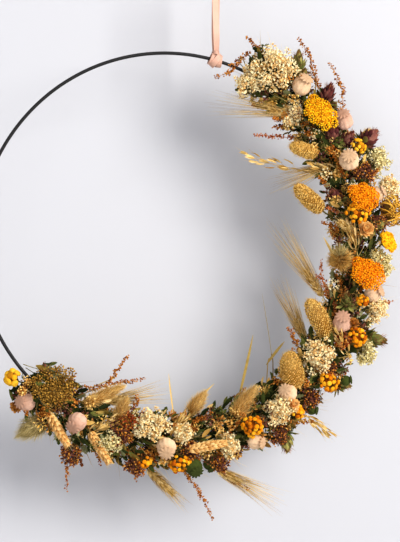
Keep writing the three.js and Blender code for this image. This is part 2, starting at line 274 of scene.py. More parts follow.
FINISHES = {
    "statice": dried("statice", (0.92, 0.62, 0.25), (1.0, 0.92, 0.60), (0.40, 0.19, 0.045)),
    "statice_green": dried("statice_green", (0.66, 0.54, 0.22), (0.95, 0.85, 0.50), (0.20, 0.16, 0.04)),
    "yarrow": dried("yarrow", (0.92, 0.42, 0.006), (1.0, 0.62, 0.02), (0.52, 0.18, 0.004), bump=0.7),
    "yarrow_orange": dried("yarrow_orange", (0.90, 0.27, 0.004), (1.0, 0.43, 0.012), (0.5, 0.11, 0.003)),
    "tansy": dried("tansy", (0.92, 0.34, 0.008), (1.0, 0.58, 0.035), (0.5, 0.12, 0.004), bump=1.0,
                   grain=1600.0),
    "tansy_yellow": dried("tansy_yellow", (0.92, 0.47, 0.02), (1.0, 0.66, 0.06), (0.5, 0.20, 0.008),
                          bump=1.0, grain=1600.0),
    "pod": dried("pod", (0.96, 0.72, 0.48), (1.0, 0.92, 0.76), (0.62, 0.38, 0.21), (0.34, 0.17, 0.07),
                 0.55, bump=1.0, grain=260.0),
    "pod_pink": dried("pod_pink", (0.82, 0.54, 0.40), (1.0, 0.78, 0.62), (0.46, 0.25, 0.17),
                      (0.30, 0.14, 0.07), 0.55, bump=1.0, grain=260.0),
    "pod_green": dried("pod_green", (0.085, 0.11, 0.022), (0.20, 0.23, 0.06), (0.025, 0.035, 0.008),
                       (0.03, 0.03, 0.01), 0.5),
    "bract_green": dried("bract_green", (0.17, 0.19, 0.042), (0.46, 0.44, 0.13), (0.045, 0.06, 0.012),
                         (0.24, 0.075, 0.05), 0.5),
    "bract_purple": dried("bract_purple", (0.14, 0.042, 0.040), (0.44, 0.20, 0.14), (0.025, 0.008, 0.010),
                          (0.20, 0.045, 0.045), 0.6),
    "tuft": dried("tuft", (0.34, 0.11, 0.04), (0.65, 0.31, 0.08), (0.12, 0.03, 0.012)),
    "straw_petal": dried("straw_petal", (0.80, 0.42, 0.11), (0.96, 0.68, 0.28), (0.48, 0.18, 0.04),
                         (0.90, 0.60, 0.24), 0.5, roughness=0.55),
    "brown_petal": dried("brown_petal", (0.44, 0.17, 0.03), (0.72, 0.36, 0.09), (0.16, 0.055, 0.012),
                         roughness=0.6),
    "wheat": dried("wheat", (0.86, 0.48, 0.15), (1.0, 0.74, 0.34), (0.46, 0.19, 0.04),
                   (0.92, 0.62, 0.26), 0.5, roughness=0.55),
    "straw": dried("straw", (0.72, 0.48, 0.15), (1.0, 0.78, 0.38), (0.34, 0.18, 0.035), roughness=0.6),
    "canary": dried("canary", (0.76, 0.43, 0.075), (1.0, 0.74, 0.25), (0.32, 0.14, 0.018),
                    (1.0, 0.74, 0.28), 0.5),
    "bunny": dried("bunny", (0.80, 0.46, 0.10), (1.0, 0.72, 0.26), (0.42, 0.18, 0.025),
                   (1.0, 0.82, 0.42), 0.65, roughness=0.9),
    "bunny_cream": dried("bunny_cream", (0.60, 0.46, 0.17), (0.84, 0.70, 0.36), (0.26, 0.19, 0.05),
                         (0.88, 0.74, 0.40), 0.6, roughness=0.9),
    "thistle": dried("thistle", (0.66, 0.34, 0.055), (0.96, 0.60, 0.16), (0.22, 0.10, 0.015),
                     (0.90, 0.66, 0.28), 0.6),
    "carrot": dried("carrot", (0.36, 0.18, 0.026), (0.80, 0.48, 0.10), (0.060, 0.028, 0.005),
                    (0.60, 0.33, 0.06), 0.4),
    "carrot_gold": dried("carrot_gold", (0.74, 0.40, 0.045), (1.0, 0.66, 0.14), (0.24, 0.10, 0.01)),
    "sorrel": dried("sorrel", (0.42, 0.13, 0.016), (0.78, 0.36, 0.07), (0.15, 0.035, 0.006)),
    "sorrel_pink": dried("sorrel_pink", (0.52, 0.14, 0.045), (0.76, 0.34, 0.13), (0.22, 0.05, 0.015)),
    "oregano": dried("oregano", (0.075, 0.022, 0.020), (0.24, 0.090, 0.055), (0.018, 0.006, 0.006),
                     (0.20, 0.075, 0.04), 0.4),
    "oregano_red": dried("oregano_red", (0.24, 0.026, 0.010), (0.42, 0.09, 0.025), (0.07, 0.010, 0.005)),
    "tan_flower": dried("tan_flower", (0.62, 0.32, 0.06), (1.0, 0.72, 0.27), (0.18, 0.065, 0.010)),
    "leaf_green": dried("leaf_green", (0.052, 0.066, 0.014), (0.15, 0.16, 0.038), (0.012, 0.017, 0.004)),
    "leaf_grey": dried("leaf_grey", (0.22, 0.22, 0.10), (0.42, 0.40, 0.21), (0.08, 0.085, 0.035)),
    "leaf_olive": dried("leaf_olive", (0.26, 0.17, 0.035), (0.52, 0.37, 0.10), (0.08, 0.055, 0.010)),
    "blade": dried("blade", (0.36, 0.25, 0.07), (0.60, 0.44, 0.15), (0.15, 0.10, 0.02), roughness=0.6),
    "stalk": dried("stalk", (0.42, 0.27, 0.07), (0.66, 0.48, 0.17), (0.18, 0.11, 0.025), roughness=0.6),
    "stalk_green": dried("stalk_green", (0.15, 0.13, 0.035), (0.30, 0.25, 0.075), (0.05, 0.05, 0.014)),
}


# ---------------------------------------------------------------- small modelled shapes

class Shape:
    """Points and triangles of a small shape, and how far along it each point lies."""

    def __init__(self, points, triangles, smooth):
        self.points = points
        self.triangles = triangles
        self.smooth = smooth
        reach = points[:, 2]
        self.along = (reach - reach.min()) / max(np.ptp(reach), 1e-9)


def pick_up(smooth=True):
    """The modelled object as a Shape; the object itself goes away."""
    made = bpy.context.active_object
    for modifier in list(made.modifiers):
        bpy.ops.object.modifier_apply(modifier=modifier.name)
    mesh = made.data
    mesh.calc_loop_triangles()
    points = np.empty(len(mesh.vertices) * 3)
    mesh.vertices.foreach_get("co", points)
    triangles = np.empty(len(mesh.loop_triangles) * 3, dtype=np.int32)
    mesh.loop_triangles.foreach_get("vertices", triangles)
    bpy.data.objects.remove(made)
    bpy.data.meshes.remove(mesh)
    return Shape(points.reshape(-1, 3), triangles.reshape(-1, 3), smooth)


def move_points(change):
    """Moves every point of the active object to change(x, y, z)."""
    mesh = bpy.context.active_object.data
    for vertex in mesh.vertices:
        vertex.co = change(*vertex.co)


def select_where(test):
    """Selects the active object's points that pass a test of their place, and stays in edit mode."""
    made = bpy.context.active_object
    bpy.ops.object.mode_set(mode="EDIT")
    bpy.ops.mesh.select_mode(type="VERT")
    bpy.ops.mesh.select_all(action="DESELECT")
    bpy.ops.object.mode_set(mode="OBJECT")
    for index, vertex in enumerate(made.data.vertices):
        vertex.select = bool(test(index, vertex.co))
    bpy.ops.object.mode_set(mode="EDIT")


def solidify(thickness):
    bpy.ops.object.modifier_add(type="SOLIDIFY")
    modifier = bpy.context.active_object.modifiers[-1]
    modifier.thickness = thickness
    modifier.offset = 0


def turned(outline, segments, rings, wave=lambda along, angle: 1.0):
    """A closed turned shape of length 1 and radius about 1, from its outline's points."""
    bpy.ops.mesh.primitive_uv_sphere_add(segments=segments, ring_count=rings, radius=1)
    heights = [point[0] for point in outline]
    radii = [point[1] for point in outline]
    steps = np.linspace(0, 1, len(outline))

    def change(x, y, z):
        share = 1 - math.acos(max(-1, min(1, z))) / math.pi
        angle = math.atan2(y, x)
        height = float(np.interp(share, steps, heights))
        radius = float(np.interp(share, steps, radii)) * wave(share, angle)
        if math.hypot(x, y) < 1e-5:
            radius = 0
        return radius * math.cos(angle), radius * math.sin(angle), height

    move_points(change)
    return pick_up()


def make_bead():
    bpy.ops.mesh.primitive_ico_sphere_add(subdivisions=1, radius=1)
    move_points(lambda x, y, z: (x, y, 0.5 + 0.5 * z))
    return pick_up()


def make_floret():
    """A five-lobed papery cup, its base at the bottom."""
    bpy.ops.mesh.primitive_cone_add(vertices=10, radius1=0, radius2=1, depth=1,
                                    end_fill_type="TRIFAN", location=(0, 0, 0.5))
    bpy.ops.object.transform_apply(location=True, rotation=False, scale=False)
    select_where(lambda index, at: at.z > 0.9 and round(math.atan2(at.y, at.x) / math.radians(36)) % 2)
    bpy.ops.transform.resize(value=(0.55, 0.55, 0.72), center_override=(0, 0, 0))
    bpy.ops.object.mode_set(mode="OBJECT")
    select_where(lambda index, at: at.z > 0.9 and math.hypot(at.x, at.y) < 0.1)
    bpy.ops.transform.translate(value=(0, 0, -0.6))
    bpy.ops.object.mode_set(mode="OBJECT")
    return pick_up(smooth=False)


def make_blade_shape(across, along, width, fold, curl, thick):
    """A thin sheet of length 1 along Z: width(t) across, folded and curled towards -Y."""
    bpy.ops.mesh.primitive_grid_add(x_subdivisions=across, y_subdivisions=along, size=2)

    def change(x, y, z):
        t = (y + 1) / 2
        half = width(t) / 2
        bend = curl * t * t
        return x * half, abs(x) * half * fold - bend, t * (1 - 0.35 * abs(curl) * t)

    move_points(change)
    solidify(thick)
    return pick_up(smooth=False)


def make_hair():
    bpy.ops.mesh.primitive_cone_add(vertices=3, radius1=1, radius2=0.12, depth=1, location=(0, 0, 0.5))
    bpy.ops.object.transform_apply(location=True, rotation=False, scale=False)
    return pick_up()


def pointed(t):
    return max(0.04, math.sin(math.pi * min(1, t * 0.92 + 0.05)) ** 0.8)


def blunt(t):
    return max(0.05, min(1, 4 * t + 0.25) * (1 - max(0, t - 0.7) ** 2 * 7))


POD_OUTLINE = [
    (-0.02, 0.0), (-0.02, 0.20), (0.015, 0.24), (0.03, 0.17), (0.06, 0.25), (0.10, 0.50), (0.16, 0.72),
    (0.24, 0.89), (0.34, 0.98), (0.44, 1.0), (0.54, 0.96), (0.64, 0.85), (0.72, 0.69), (0.78, 0.52),
    (0.81, 0.44), (0.825, 0.50), (0.82, 0.70), (0.84, 0.76), (0.87, 0.72), (0.90, 0.50), (0.915, 0.25),
    (0.90, 0.0),
]
POD_RIBS = 11


def pod_wave(share, angle):
    """Shallow ribs down the pod and rays on its crown."""
    ray = math.cos(POD_RIBS * angle)
    if share > 0.76:
        return 1 + 0.16 * ray
    body = math.sin(math.pi * min(1, share / 0.72))
    dent = math.sin(3 * angle + 9 * share) * math.sin(2 * angle - 7 * share + 1)
    return 1 + 0.075 * body * abs(math.cos(POD_RIBS * angle / 2)) - 0.05 + 0.045 * body * dent


BUTTON_OUTLINE = [(0.0, 0.0), (0.02, 0.5), (0.18, 0.88), (0.42, 1.0), (0.68, 0.88), (0.86, 0.55),
                  (0.80, 0.18), (0.74, 0.0)]
OVAL_OUTLINE = [(0, 0), (0.03, 0.38), (0.12, 0.72), (0.28, 0.97), (0.45, 1.0), (0.62, 0.88),
                (0.8, 0.6), (0.94, 0.26), (1, 0)]
GRAIN_OUTLINE = [(0, 0), (0.10, 0.62), (0.34, 1.0), (0.64, 0.80), (0.88, 0.32), (1, 0)]

POD = turned(POD_OUTLINE, 66, 43, pod_wave)
BUTTON = turned(BUTTON_OUTLINE, 12, 7)
OVAL = turned(OVAL_OUTLINE, 14, 10)
GRAIN = turned(GRAIN_OUTLINE, 6, 5)
SEED = turned([(0, 0), (0.3, 1), (0.7, 0.85), (1, 0)], 5, 3)
BEAD = make_bead()
FLORET = make_floret()
HAIR = make_hair()
BRACT = make_blade_shape(2, 3, lambda t: pointed(t) * 0.62, 0.45, -0.12, 0.03)
SCALE = make_blade_shape(1, 2, lambda t: pointed(t) * 0.55, 0.5, -0.1, 0.05)
PETAL = make_blade_shape(2, 4, lambda t: blunt(t) * 0.42, 0.25, -0.35, 0.02)
LEAF = make_blade_shape(2, 5, lambda t: pointed(t) * 0.30, 0.5, 0.25, 0.012)
LOBED_LEAF = make_blade_shape(2, 7, lambda t: pointed(t) * (0.34 + 0.12 * math.cos(22 * t)), 0.4, 0.3, 0.012)


# ---------------------------------------------------------------- gathering copies into a piece

def unit(vectors):
    vectors = np.atleast_2d(np.asarray(vectors, dtype=float))
    return vectors / np.maximum(np.linalg.norm(vectors, axis=1, keepdims=True), 1e-9)


def facing(directions, rolls):
    """Turning matrices whose Z columns are the directions, rolled about them."""
    z = unit(directions)
    helper = np.where(np.abs(z[:, 2:3]) > 0.9, [[1.0, 0.0, 0.0]], [[0.0, 0.0, 1.0]])
    x = unit(np.cross(helper, z))
    y = np.cross(z, x)
    c, s = np.cos(rolls)[:, None], np.sin(rolls)[:, None]
    return np.stack([c * x + s * y, c * y - s * x, z], axis=2)


def facing_up(directions, backs):
    """Turning matrices whose Z columns are the directions and whose Y columns lean to backs."""
    z = unit(directions)
    x = unit(np.cross(np.asarray(backs, dtype=float), z))
    return np.stack([x, np.cross(z, x), z], axis=2)


# The golden angle, by which each floret or seed turns on from the last one.
GOLDEN = math.pi * (3 - math.sqrt(5))


def spiral(count, top=1.0, bottom=-1.0):
    """Unit vectors spread evenly over a ball between two heights."""
    steps = (np.arange(count) + 0.5) / count
    z = top + (bottom - top) * steps
    turn = np.arange(count) * GOLDEN
    r = np.sqrt(np.maximum(0, 1 - z * z))
    return np.stack([r * np.cos(turn), r * np.sin(turn), z], axis=1)


def smooth_path(points, steps):
    """Points evenly stepped along a smooth curve through the given ones."""
    points = np.asarray(points, dtype=float)
    ends = np.vstack([2 * points[0] - points[1], points, 2 * points[-1] - points[-2]])
    out = []
    spans = len(points) - 1
    for k in range(steps + 1):
        u = min(k / steps * spans, spans - 1e-9)
        i = int(u)
        t = u - i
        a, b, c, d = ends[i:i + 4]
        out.append(0.5 * (2 * b + (c - a) * t + (2 * a - 5 * b + 4 * c - d) * t * t
                          + (3 * b - 3 * c + d - a) * t ** 3))
    return np.array(out)


class Piece:
    """Copies of shapes, and stalks, gathered into one mesh, in millimetres."""

    def __init__(self, seed):
        self.rng = np.random.default_rng(seed)
        self.points = []
        self.triangles = []
        self.tints = []
        self.alongs = []
        self.materials = []
        self.smooths = []
        self.finishes = []
        self.count = 0

    def finish_index(self, finish):
        if finish not in self.finishes:
            self.finishes.append(finish)
        return self.finishes.index(finish)

    def keep(self, points, triangles, tints, alongs, finish, smooth):
        self.points.append(points)
        self.triangles.append(triangles + self.count)
        self.count += len(points)
        self.tints.append(tints)
        self.alongs.append(alongs)
        self.materials.append(np.full(len(triangles), self.finish_index(finish)))
        self.smooths.append(np.full(len(triangles), smooth))

    def put(self, shape, places, turns, sizes, finish, tints=None):
        """Copies of a shape at places, turned, and sized across, through and along."""
        places = np.atleast_2d(places)
        k, n = len(places), len(shape.points)
        sizes = np.asarray(sizes, dtype=float)
        if sizes.ndim < 2:
            sizes = np.broadcast_to(sizes.reshape(-1, 1) if sizes.ndim else sizes, (k, 3))
        tints = self.rng.random(k) if tints is None else np.broadcast_to(tints, (k,))
        local = shape.points[None] * sizes[:, None, :]
        points = np.einsum("kij,kpj->kpi", turns, local) + places[:, None, :]
        triangles = shape.triangles[None] + (np.arange(k) * n)[:, None, None]
        self.keep(points.reshape(-1, 3), triangles.reshape(-1, 3), np.repeat(tints, n),
                  np.tile(shape.along, k), finish, shape.smooth)

    def stalk(self, path, start, end, finish, sides=5):
        """A round stalk along a path, closed at both ends, with its radius at each."""
        path = np.asarray(path, dtype=float)
        n = len(path)
        tangents = unit(np.gradient(path, axis=0))
        helper = np.array([0.31, 0.87, 0.38])
        x = unit(np.cross(helper, tangents))
        y = np.cross(tangents, x)
        radii = np.linspace(start, end, n)
        angles = np.arange(sides) * 2 * math.pi / sides
        rings = (path[:, None] + radii[:, None, None] * (
            np.cos(angles)[None, :, None] * x[:, None] + np.sin(angles)[None, :, None] * y[:, None]))
        points = np.vstack([rings.reshape(-1, 3), path[:1], path[-1:]])
        i, j = np.meshgrid(np.arange(n - 1), np.arange(sides), indexing="ij")
        a, b = (i * sides + j).ravel(), (i * sides + (j + 1) % sides).ravel()
        ring = np.arange(sides)
        following = (ring + 1) % sides
        first = np.stack([np.full(sides, n * sides), following, ring], 1)
        last = np.stack([np.full(sides, n * sides + 1), (n - 1) * sides + ring,
                         (n - 1) * sides + following], 1)
        triangles = np.vstack([np.stack([a, b, b + sides], 1), np.stack([a, b + sides, a + sides], 1),
                               first, last])
        alongs = np.append(np.repeat(np.linspace(0, 1, n), sides), [0, 1])
        self.keep(points, triangles, np.full(len(points), self.rng.random()), alongs, finish, True)

    def to_wreath(self, base, aim, roll=0.0):
        """Moves all that is gathered so far from its own frame to its place."""
        turn = facing([aim], np.array([roll]))[0]
        self.points = [points @ turn.T + base for points in self.points]

    def make(self, name):
        """The gathered mesh as an object."""
        points = np.clip(np.vstack(self.points) * MM, REACH_LOW, REACH_HIGH)
        triangles = np.vstack(self.triangles).astype(np.int32)
        mesh = bpy.data.meshes.new(name)
        mesh.vertices.add(len(points))
        mesh.vertices.foreach_set("co", points.ravel())
        mesh.loops.add(len(triangles) * 3)
        mesh.loops.foreach_set("vertex_index", triangles.ravel())
        mesh.polygons.add(len(triangles))
        mesh.polygons.foreach_set("loop_start", np.arange(0, len(triangles) * 3, 3, dtype=np.int32))
        mesh.polygons.foreach_set("material_index", np.concatenate(self.materials).astype(np.int32))
        mesh.polygons.foreach_set("use_smooth", np.concatenate(self.smooths).astype(bool))
        for title, values in (("tint", self.tints), ("along", self.alongs)):
            layer = mesh.attributes.new(title, "FLOAT", "POINT")
            layer.data.foreach_set("value", np.concatenate(values).astype(np.float32))
        for finish in self.finishes:
            mesh.materials.append(FINISHES[finish])
        mesh.update(calc_edges=True)
        made = bpy.data.objects.new(name, mesh)
        bpy.context.scene.collection.objects.link(made)
        return made


# ---------------------------------------------------------------- more finishes, for made things

def make_satin_weave():
    """Fine threads along and across a ribbon, from its own UV map, as a normal and a mask."""
    group, start, end = new_group(
        "satin_weave",
        [("Threads along", "f", 60.0), ("Threads across", "f", 1400.0), ("Strength", "f", 0.2)],
        [("Normal", "v"), ("Mask", "f")],
    )
    coordinates = group.nodes.new("ShaderNodeUVMap")
    parts = group.nodes.new("ShaderNodeSeparateXYZ")
    group.links.new(coordinates.outputs["UV"], parts.inputs[0])
    waves = []
    for axis, title in (("X", "Threads along"), ("Y", "Threads across")):
        times = group.nodes.new("ShaderNodeMath")
        times.operation = "MULTIPLY"
        group.links.new(parts.outputs[axis], times.inputs[0])
        group.links.new(start.outputs[title], times.inputs[1])
        wave = group.nodes.new("ShaderNodeMath")
        wave.operation = "SINE"
        group.links.new(times.outputs[0], wave.inputs[0])
        waves.append(wave.outputs[0])
    both = group.nodes.new("ShaderNodeMath")
    both.operation = "ADD"
    for wave, socket in zip(waves, both.inputs):
        group.links.new(wave, socket)
    bump = group.nodes.new("ShaderNodeBump")
    bump.inputs["Distance"].default_value = 0.0001
    group.links.new(start.outputs["Strength"], bump.inputs["Strength"])
    group.links.new(both.outputs[0], bump.inputs["Height"])
    group.links.new(bump.outputs["Normal"], end.inputs["Normal"])
    group.links.new(ranged(group, both.outputs[0], -2.0, 2.0), end.inputs["Mask"])
    return group


def ribbon_satin():
    material, tree, shader = blank_material("ribbon_satin", 0.42, Sheen_Weight=0.2, Sheen_Roughness=0.4)
    shader.inputs["Sheen Tint"].default_value = colour(1.0, 0.86, 0.78)
    weave = group_node(tree, make_satin_weave())
    tone = mixed(tree, weave.outputs["Mask"], colour(0.64, 0.36, 0.25), colour(0.76, 0.49, 0.37))
    soft = mixed(tree, ranged(tree, object_noise(tree, 90.0), 0.4, 0.75, 0.0, 0.35), tone,
                 colour(0.58, 0.31, 0.23))
    tree.links.new(soft, shader.inputs["Base Color"])
    tree.links.new(weave.outputs["Normal"], shader.inputs["Normal"])
    return material


def painted_steel():
    """Black satin paint over steel, with dust and small wear."""
    material, tree, shader = blank_material("hoop_paint", 0.45, Specular_IOR_Level=0.3)
    worn = ranged(tree, object_noise(tree, 260.0, 6.0), 0.66, 0.78, 0.0, 0.5)
    tone = mixed(tree, worn, colour(0.014, 0.013, 0.013), colour(0.10, 0.085, 0.075))
    tree.links.new(tone, shader.inputs["Base Color"])
    rough = ranged(tree, object_noise(tree, 120.0, 4.0), 0.35, 0.7, 0.36, 0.62)
    tree.links.new(rough, shader.inputs["Roughness"])
    surface = group_node(tree, DRY_SURFACE, Scale=1500.0, Strength=0.08)
    tree.links.new(surface.outputs["Normal"], shader.inputs["Normal"])
    return material


def florist_wire():
    """Green-lacquered binding wire, its lacquer rubbed through in places."""
    material, tree, shader = blank_material("florist_wire", 0.42, 0.3, Coat_Weight=0.3)
    rubbed = ranged(tree, object_noise(tree, 700.0), 0.58, 0.7)
    tone = mixed(tree, rubbed, colour(0.03, 0.055, 0.022), colour(0.12, 0.12, 0.10))
    tree.links.new(tone, shader.inputs["Base Color"])
    return material


# ---------------------------------------------------------------- ribbon

RIBBON_WIDTH = 8.0
RIBBON_THICK = 0.45
GATHERED_WIDTH = 5.0  # where the knot draws the ribbon together
RIBBON_STEPS = 150
RIBBON_ACROSS = 10
PLEATS = 5

RIBBON_ROUTE = [
    (0.2, -2.2, -91.15), (0.2, -2.9, -77.15), (-0.6, -3.2, -50), (-1.0, -3.2, -20), (-0.6, -3.2, -5),
    (-0.3, -2.4, -1.4), (0, 0, 0.3), (0.3, 2.4, -1.4), (0.6, 3.2, -5), (1.4, 3.2, -20), (1.0, 3.2, -50),
    (0.2, 2.9, -77.15), (0.2, 2.2, -91.15),
]
# The knot sits this many degrees clockwise of the top of the hoop.
KNOT_CLOCK = 14
KNOT_CENTRE = np.array([0.0, 0.0, -100.0])


def smooth_route(points, steps):
    """Points along a centripetal curve through the given ones, evenly apart."""
    points = np.asarray(points, dtype=float)
    ends = np.vstack([2 * points[0] - points[1], points, 2 * points[-1] - points[-2]])
    fine = []
    for i in range(1, len(ends) - 2):
        four = ends[i - 1:i + 3]
        knots = np.concatenate([[0], np.cumsum(np.sqrt(np.linalg.norm(np.diff(four, axis=0), axis=1)))])
        for t in np.linspace(knots[1], knots[2], 30, endpoint=False):
            a, b, c = (
                ((knots[k + 1] - t) * four[k] + (t - knots[k]) * four[k + 1]) / (knots[k + 1] - knots[k])
                for k in range(3))
            d, e = (((knots[k + 2] - t) * first + (t - knots[k]) * second) / (knots[k + 2] - knots[k])
                    for k, first, second in ((0, a, b), (1, b, c)))
            fine.append(((knots[2] - t) * d + (t - knots[1]) * e) / (knots[2] - knots[1]))
    fine.append(points[-1])
    fine = np.array(fine)
    reach = np.concatenate([[0], np.cumsum(np.linalg.norm(np.diff(fine, axis=0), axis=1))])
    wanted = np.linspace(0, reach[-1], steps + 1)
    return np.stack([np.interp(wanted, reach, fine[:, k]) for k in range(3)], 1)


def strip(name, path, across, widths, pleat_depths, thickness, material, closed=False):
    """A ribbon along a path; it lies across, gathered in pleats of the given depths."""
    steps = len(path) - 1
    bpy.ops.mesh.primitive_grid_add(x_subdivisions=RIBBON_ACROSS, y_subdivisions=steps, size=2)
    made = bpy.context.active_object
    made.name = name
    tangents = unit(np.gradient(path, axis=0))
    if closed:
        tangents[0] = tangents[-1] = unit(path[1] - path[-2])[0]
    sideways = unit(across - tangents * np.sum(across * tangents, axis=1, keepdims=True))
    outward = np.cross(tangents, sideways)
    for vertex in made.data.vertices:
        row = int(round((vertex.co.y + 1) / 2 * steps))
        share = vertex.co.x
        pleat = pleat_depths[row] * math.cos(share * math.pi * PLEATS)
        point = path[row] + sideways[row] * share * widths[row] / 2 + outward[row] * pleat
        vertex.co = point
    bpy.ops.object.modifier_add(type="SOLIDIFY")
    made.modifiers[-1].thickness = thickness
    made.modifiers[-1].offset = 0
    bpy.ops.object.modifier_apply(modifier=made.modifiers[-1].name)
    if closed:
        bpy.ops.object.mode_set(mode="EDIT")
        bpy.ops.mesh.select_all(action="SELECT")
        bpy.ops.mesh.remove_doubles(threshold=1e-4)
        bpy.ops.object.mode_set(mode="OBJECT")
    bpy.ops.object.shade_smooth()
    made.data.transform(Matrix.Scale(MM, 4))
    made.data.materials.append(material)
    return made


SATIN = ribbon_satin()
ribbon_path = smooth_route(RIBBON_ROUTE, RIBBON_STEPS)
share_along = np.linspace(0, 1, RIBBON_STEPS + 1)
near_knot = np.clip(1 - np.minimum(share_along, 1 - share_along) / 0.22, 0, 1) ** 1.6
ribbon_widths = RIBBON_WIDTH - (RIBBON_WIDTH - GATHERED_WIDTH) * near_knot
ribbon_twist = 0.32 * np.sin(share_along * 2 * math.pi) * (1 - near_knot)
ribbon_across = np.stack([np.cos(ribbon_twist), np.sin(ribbon_twist), np.zeros(RIBBON_STEPS + 1)], 1)
ribbon = strip("ribbon_loop", ribbon_path, ribbon_across, ribbon_widths, 0.7 * near_knot, RIBBON_THICK, SATIN)


def knot_band(name, shift, tilt, size, width):
    """One pleated turn of the ribbon round the rod."""
    steps = 48
    angle = np.linspace(0, 2 * math.pi, steps + 1)
    along_rod, up = clockwise(KNOT_CLOCK), outwards(KNOT_CLOCK)
    lean = math.tan(math.radians(tilt))
    path = (KNOT_CENTRE + along_rod * shift
            + np.outer(np.cos(angle), up * 6.6 + along_rod * 6.6 * lean) * size
            + np.outer(np.sin(angle), FRONT * 4.7) * size)
    turned_across = unit(along_rod - up * lean)
    depth = 0.4 + 0.15 * np.cos(3 * angle)
    depth[-1] = depth[0]
    return strip(name, path, np.repeat(turned_across, steps + 1, 0), np.full(steps + 1, width), depth, 0.5,
                 SATIN, closed=True)


knot_bands = [
    knot_band("knot_band_left", -3.6, 10, 0.92, 5.6),
    knot_band("knot_band_right", 3.3, -8, 0.95, 5.6),
    knot_band("knot_band_middle", 0.1, 27, 1.08, 6.2),
]


def neck_band():
    """The turn that draws the two strands together just above the rod."""
    steps = 36
    angle = np.linspace(0, 2 * math.pi, steps + 1)
    path = KNOT_CENTRE + np.stack([3.5 * np.cos(angle), -4.0 * np.sin(angle), 7.2 + 0.5 * np.sin(angle)], 1)
    return strip("knot_neck", path, np.tile([0.0, 0.0, 1.0], (steps + 1, 1)), np.full(steps + 1, 3.6),
                 np.full(steps + 1, 0.3), 0.5, SATIN, closed=True)


knot_bands.append(neck_band())
bpy.ops.object.select_all(action="DESELECT")
for band in knot_bands:
    band.select_set(True)
bpy.context.view_layer.objects.active = knot_bands[0]
bpy.ops.object.join()
knot = bpy.context.active_object
knot.name = "ribbon_knot_folds"
for piece in (ribbon, knot):
    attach(piece, "root")
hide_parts("hanging_ribbon")
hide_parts("ribbon_knot")


# ---------------------------------------------------------------- hoop and binding wire

WIRE_RADIUS = 0.4
WIRE_PITCH = 24.0
WIRE_AT = 5.25  # from the middle of the rod
WIRE_SIDES = 6

bpy.ops.mesh.primitive_torus_add(major_radius=HOOP_RADIUS, minor_radius=ROD / 2, major_segments=288,
                                 minor_segments=16)
hoop = bpy.context.active_object
hoop.name = "painted_hoop"
WELD_CLOCK = 262
for vertex in hoop.data.vertices:
    flat = np.array([vertex.co.x, vertex.co.y, 0])
    middle = flat / np.linalg.norm(flat) * HOOP_RADIUS
    clock = math.degrees(math.atan2(vertex.co.x, vertex.co.y)) % 360
    swell = 0.22 * math.exp(-((clock - WELD_CLOCK) / 0.35) ** 2)
    out = np.array(vertex.co) - middle
    point = middle + out * (1 + swell)
    vertex.co = np.array([point[0], -point[2], point[1]]) + HOOP_CENTRE
hoop.data.transform(Matrix.Scale(MM, 4))
bpy.ops.object.shade_smooth()
hoop.data.materials.append(painted_steel())
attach(hoop, "root")
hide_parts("hoop")


def round_rod(clock, turn, distance):
    return place(clock, distance * math.cos(turn), distance * math.sin(turn))


FINISHES["florist_wire"] = florist_wire()
wire = Piece(5)
per_degree = HOOP_RADIUS * math.radians(1)
wire_steps = int((FLOWERS_TO - FLOWERS_FROM) * per_degree / WIRE_PITCH * 14)
wire_path = []
for k in range(wire_steps + 1):
    arc = (FLOWERS_TO - FLOWERS_FROM) * per_degree * k / wire_steps
    wire_path.append(round_rod(FLOWERS_FROM + arc / per_degree, 2 * math.pi * arc / WIRE_PITCH, WIRE_AT))
wire.stalk(wire_path, WIRE_RADIUS, WIRE_RADIUS, "florist_wire", WIRE_SIDES)
wire = wire.make("wound_wire")
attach(wire, "root")
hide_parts("binding_wire")


# ---------------------------------------------------------------- heads, each in its own frame
# A head's base is at its frame's origin and its tip at `length` along Z; `radius` is half its width.

UP = np.array([0.0, 0.0, 1.0])


BLUNT_OUTLINE = [(0, 0), (0.03, 0.5), (0.12, 0.82), (0.3, 1.0), (0.55, 1.0), (0.78, 0.86), (0.92, 0.58),
                 (0.98, 0.32), (1, 0)]


def over_oval(piece, shape, count, length, radius, size, finish, low=0.03, high=0.95, spread=0.3, vary=0.2,
              outline=OVAL_OUTLINE):
    """Copies of a shape that lie over an oval head from its base to its tip, hugging it."""
    t = low + (high - low) * (np.arange(count) + 0.5) / count
    angle = np.arange(count) * GOLDEN
    heights = [point[0] for point in outline]
    radii = [point[1] for point in outline]
    r = radius * np.interp(t, heights, radii)
    slope = radius * (np.interp(t + 0.02, heights, radii) - np.interp(t - 0.02, heights, radii)) / 0.04
    radial = np.stack([np.cos(angle), np.sin(angle), np.zeros(count)], 1)
    upward = unit(slope[:, None] * radial + length * UP)
    outward = unit(length * radial - slope[:, None] * UP)
    leans = spread + vary * (piece.rng.random(count) - 0.5)
    aims = unit(upward * (1 - leans[:, None]) + outward * leans[:, None])
    places = radial * r[:, None] + UP * (length * t)[:, None]
    sizes = np.asarray(size) * (0.8 + 0.4 * piece.rng.random((count, 1)))
    piece.put(shape, places, facing_up(aims, -outward), sizes, finish)


def clumps(piece, count, length, radius, top=1.0, bottom=-0.35, uneven=0.55):
    """Places and outward directions of the clumps that make an airy, uneven head."""
    outward = unit(spiral(count, top, bottom) + 0.18 * piece.rng.normal(size=(count, 3)))
    reach = 1.08 - uneven * piece.rng.random((count, 1)) ** 1.5
    places = outward * reach * np.array([0.72 * radius, 0.72 * radius, 0.40 * length])
    return places + UP * 0.52 * length, outward


def branch_to(piece, places, start, thickness, finish, bow=0.25):
    """Thin stalks from a point on the axis to each place, bowed upwards."""
    for place_to in places:
        middle = start + (place_to - start) * np.array([0.45 + bow, 0.45 + bow, 0.5])
        piece.stalk(smooth_path([start, middle, place_to], 5), thickness, 0.7 * thickness, finish, 4)


